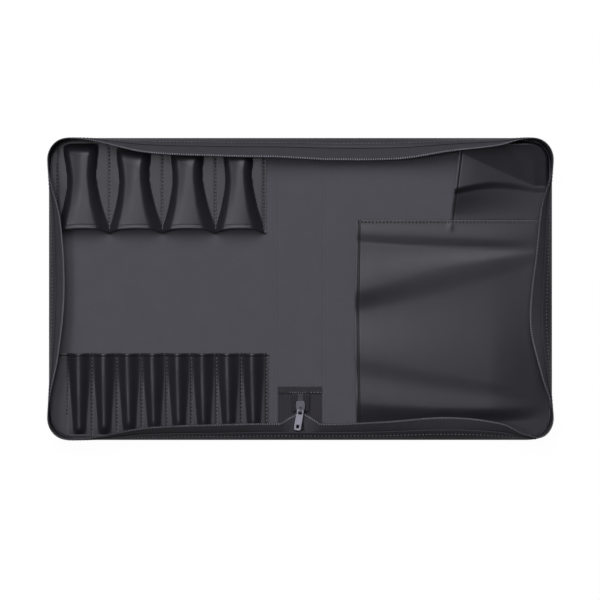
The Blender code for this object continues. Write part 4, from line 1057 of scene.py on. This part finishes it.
def build_corner_pocket():
    shares = np.concatenate([np.linspace(0, 0.06, 16), np.linspace(0.07, 1.0, 70)])
    columns = []
    for y in np.linspace(CORNER_POCKET_BOTTOM, HALF_HEIGHT - EDGE_INSET, 100):
        up_mouth = min(1.0, (y - CORNER_POCKET_BOTTOM) / (CORNER_MOUTH_TOP - CORNER_POCKET_BOTTOM))
        mouth = CORNER_POCKET_X + CORNER_POCKET_SLANT * up_mouth
        xs = mix(mouth, float(side_reach(y, EDGE_INSET)), shares)
        lift = corner_pocket_lift(shares, xs, y) + hem_height(xs - mouth, 3.4 * MM)
        columns.append(sheet_points(xs, y, lift))
    pocket_sheet("corner_pocket_sheet", "corner_pocket", "right", np.stack(columns, axis=1))


# ---- Zip end on the spine -------------------------------------------------------


PATCH_THICKNESS = 0.8 * MM
PATCH_HEM = 6.8 * MM
# Stitches along its hem, in groups from one X to another, in millimetres
PATCH_STITCHES = ((-11.0, -6.0), (-4.5, 5.0), (11.5, 17.5), (19.0, 21.5))


def build_patch():
    """The ribbed patch sewn down under the slider, with its upper edge turned over."""
    low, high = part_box("zip_end_patch")
    hem_y = high.y - PATCH_HEM
    right_x = min(high.x + 4.0 * MM, HALF_SPINE - 4.6 * MM)  # clear of a cover that stands up
    xs = np.linspace(low.x - 1.4 * MM, right_x, 60)
    ys = np.concatenate([np.linspace(low.y, hem_y - 0.3 * MM, 40), np.linspace(hem_y, high.y, 10)])
    turned = 0.75 * MM * smooth((ys - hem_y + 0.5 * MM) / (0.9 * MM))
    grid = surface(xs[:, None], ys, low.z + PATCH_THICKNESS / 2 + turned)
    piece = slab("patch", grid, PATCH_THICKNESS, PATCH)
    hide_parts("zip_end_patch")
    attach(piece, "spine")
    cut_from(grid)
    y, z = hem_y + 0.9 * MM, high.z + 0.1 * MM
    lines = [straight_line((a * MM, y), (b * MM, y), z, 4) for a, b in PATCH_STITCHES]
    row = row_of_pieces(
        "patch_stitches", lines, "woven_tape", PALE_THREAD,
        pitch=2.1 * MM, length=1.0 * MM, width=1.9 * MM, height=0.7 * MM,
    )
    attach(row, "spine")


TAIL_BEND = 2.2 * MM


def build_tail():
    """The joined tapes behind the slider, which come down to the patch at their far end."""
    for side, sign in SIDE_SIGN.items():
        low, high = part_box(f"{side}_tail_tape")
        xs = sign * np.linspace(3.1 * MM, 9.0 * MM, 10)
        ys = np.linspace(low.y, high.y, 40)
        drop = smooth((ys - high.y) / TAIL_BEND + 1)
        half = TAPE_THICKNESS / 2
        grid = surface(xs, ys[:, None], mix(high.z - half, low.z + half, drop)[:, None])
        flip = side == "right"
        piece = slab(f"{side}_tail", grid, TAPE_THICKNESS, DARK_TAPE, flip)
        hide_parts(f"{side}_tail_tape")
        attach(piece, "spine")


# ---- Stage, lights and camera ---------------------------------------------------


FLOOR_HALF = 3.0
FLOOR_GREY = (0.55, 0.55, 0.55, 1)
# The camera sees the floor mostly as an even glow, and the rest of it takes the case's shadow
GLOW_STRENGTH = 1.05
GLOW_SHARE = 0.92
# Lamps by name, place, size and power, all turned to the case
LAMPS = (
    ("softbox", (-0.50, 2.45, 3.20), 3.8, 172.0),
    ("overhead lamp", (-0.15, 0.15, 3.30), 1.1, 14.0),
    ("side lamp", (-1.70, 0.10, 3.10), 0.7, 22.0),
)
CAMERA_HEIGHT = 3.0
FRAME_WIDTH = 636 * MM  # that the photograph's frame covers at the case


def build_stage():
    corners = [(x * FLOOR_HALF, y * FLOOR_HALF, 0) for x, y in ((-1, -1), (1, -1), (1, 1), (-1, 1))]
    mesh = bpy.data.meshes.new("floor")
    mesh.from_pydata(corners, [], [(0, 1, 2, 3)])
    floor = bpy.data.objects.new("floor", mesh)
    bpy.context.scene.collection.objects.link(floor)
    floor.location.z = -0.05 * MM
    material = bpy.data.materials.new("pale floor")
    material.use_nodes = True
    tree = material.node_tree
    shader = tree.nodes["Principled BSDF"]
    shader.inputs["Base Color"].default_value = FLOOR_GREY
    shader.inputs["Roughness"].default_value = 1.0
    shader.inputs["Specular IOR Level"].default_value = 0.0
    glow = tree.nodes.new("ShaderNodeEmission")
    glow.inputs["Strength"].default_value = GLOW_STRENGTH
    path = tree.nodes.new("ShaderNodeLightPath")
    share = tree.nodes.new("ShaderNodeMath")
    share.operation = "MULTIPLY"
    share.inputs[1].default_value = GLOW_SHARE
    blend = tree.nodes.new("ShaderNodeMixShader")
    tree.links.new(path.outputs["Is Camera Ray"], share.inputs[0])
    tree.links.new(share.outputs[0], blend.inputs[0])
    tree.links.new(shader.outputs[0], blend.inputs[1])
    tree.links.new(glow.outputs[0], blend.inputs[2])
    tree.links.new(blend.outputs[0], tree.nodes["Material Output"].inputs["Surface"])
    mesh.materials.append(material)

    world = bpy.data.worlds.new("studio")
    world.use_nodes = True
    world.node_tree.nodes["Background"].inputs["Color"].default_value = (1, 1, 1, 1)
    world.node_tree.nodes["Background"].inputs["Strength"].default_value = 0.05
    bpy.context.scene.world = world

    for lamp in LAMPS:
        add_light(*lamp)


def add_light(name, place, size, power):
    light = bpy.data.lights.new(name, "AREA")
    light.shape = "DISK"
    light.size = size
    light.energy = power
    light.color = (0.985, 0.965, 1.05)
    made = bpy.data.objects.new(name, light)
    bpy.context.scene.collection.objects.link(made)
    made.location = place
    made.rotation_euler = (-Vector(place)).to_track_quat("-Z", "Y").to_euler()


def build_camera():
    camera = bpy.data.cameras.new("camera")
    camera.lens = camera.sensor_width * CAMERA_HEIGHT / FRAME_WIDTH
    made = bpy.data.objects.new("camera", camera)
    bpy.context.scene.collection.objects.link(made)
    made.location = (-0.5 * MM, -11.7 * MM, CAMERA_HEIGHT)
    bpy.context.scene.camera = made


# ---- Assembly -------------------------------------------------------------------


def give(node, material):
    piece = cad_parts[node]
    for slot in piece.material_slots:
        slot.material = material


build_camera()
build_stage()
for side in ("left", "right"):
    build_panels(side)
    build_wall(side)
pocket_strip(
    "tool_strip", "tool_pockets", tool_seams(), 1, TOOL_MOUTH_Y, TOOL_RISE, TOOL_DRAWBACK,
    tool_lift, step=1.1 * MM, hem=5.0 * MM,
)
pocket_strip(
    "sleeve_strip", "pen_sleeves", sleeve_seams(), -1, SLEEVE_MOUTH_Y, SLEEVE_RISE,
    SLEEVE_DRAWBACK, sleeve_lift, step=0.7 * MM, hem=2.8 * MM,
)
build_large_pocket()
build_corner_pocket()
build_patch()
build_tail()
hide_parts("spine_top_wall", "spine_bottom_wall")
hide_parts("spine_top_tape")
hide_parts("spine_top_teeth")
for node, material in (
    ("slider_body", METAL),
    ("zip_pull", BRIGHT_METAL),
    ("zip_tail_teeth", DARK_COIL),
    ("zip_bottom_stop", DARK_COIL),
    ("left_board", GREY_BOARD),
    ("spine_board", GREY_BOARD),
    ("right_board", GREY_BOARD),
):
    give(node, material)

bpy.context.scene.view_settings.view_transform = "Standard"
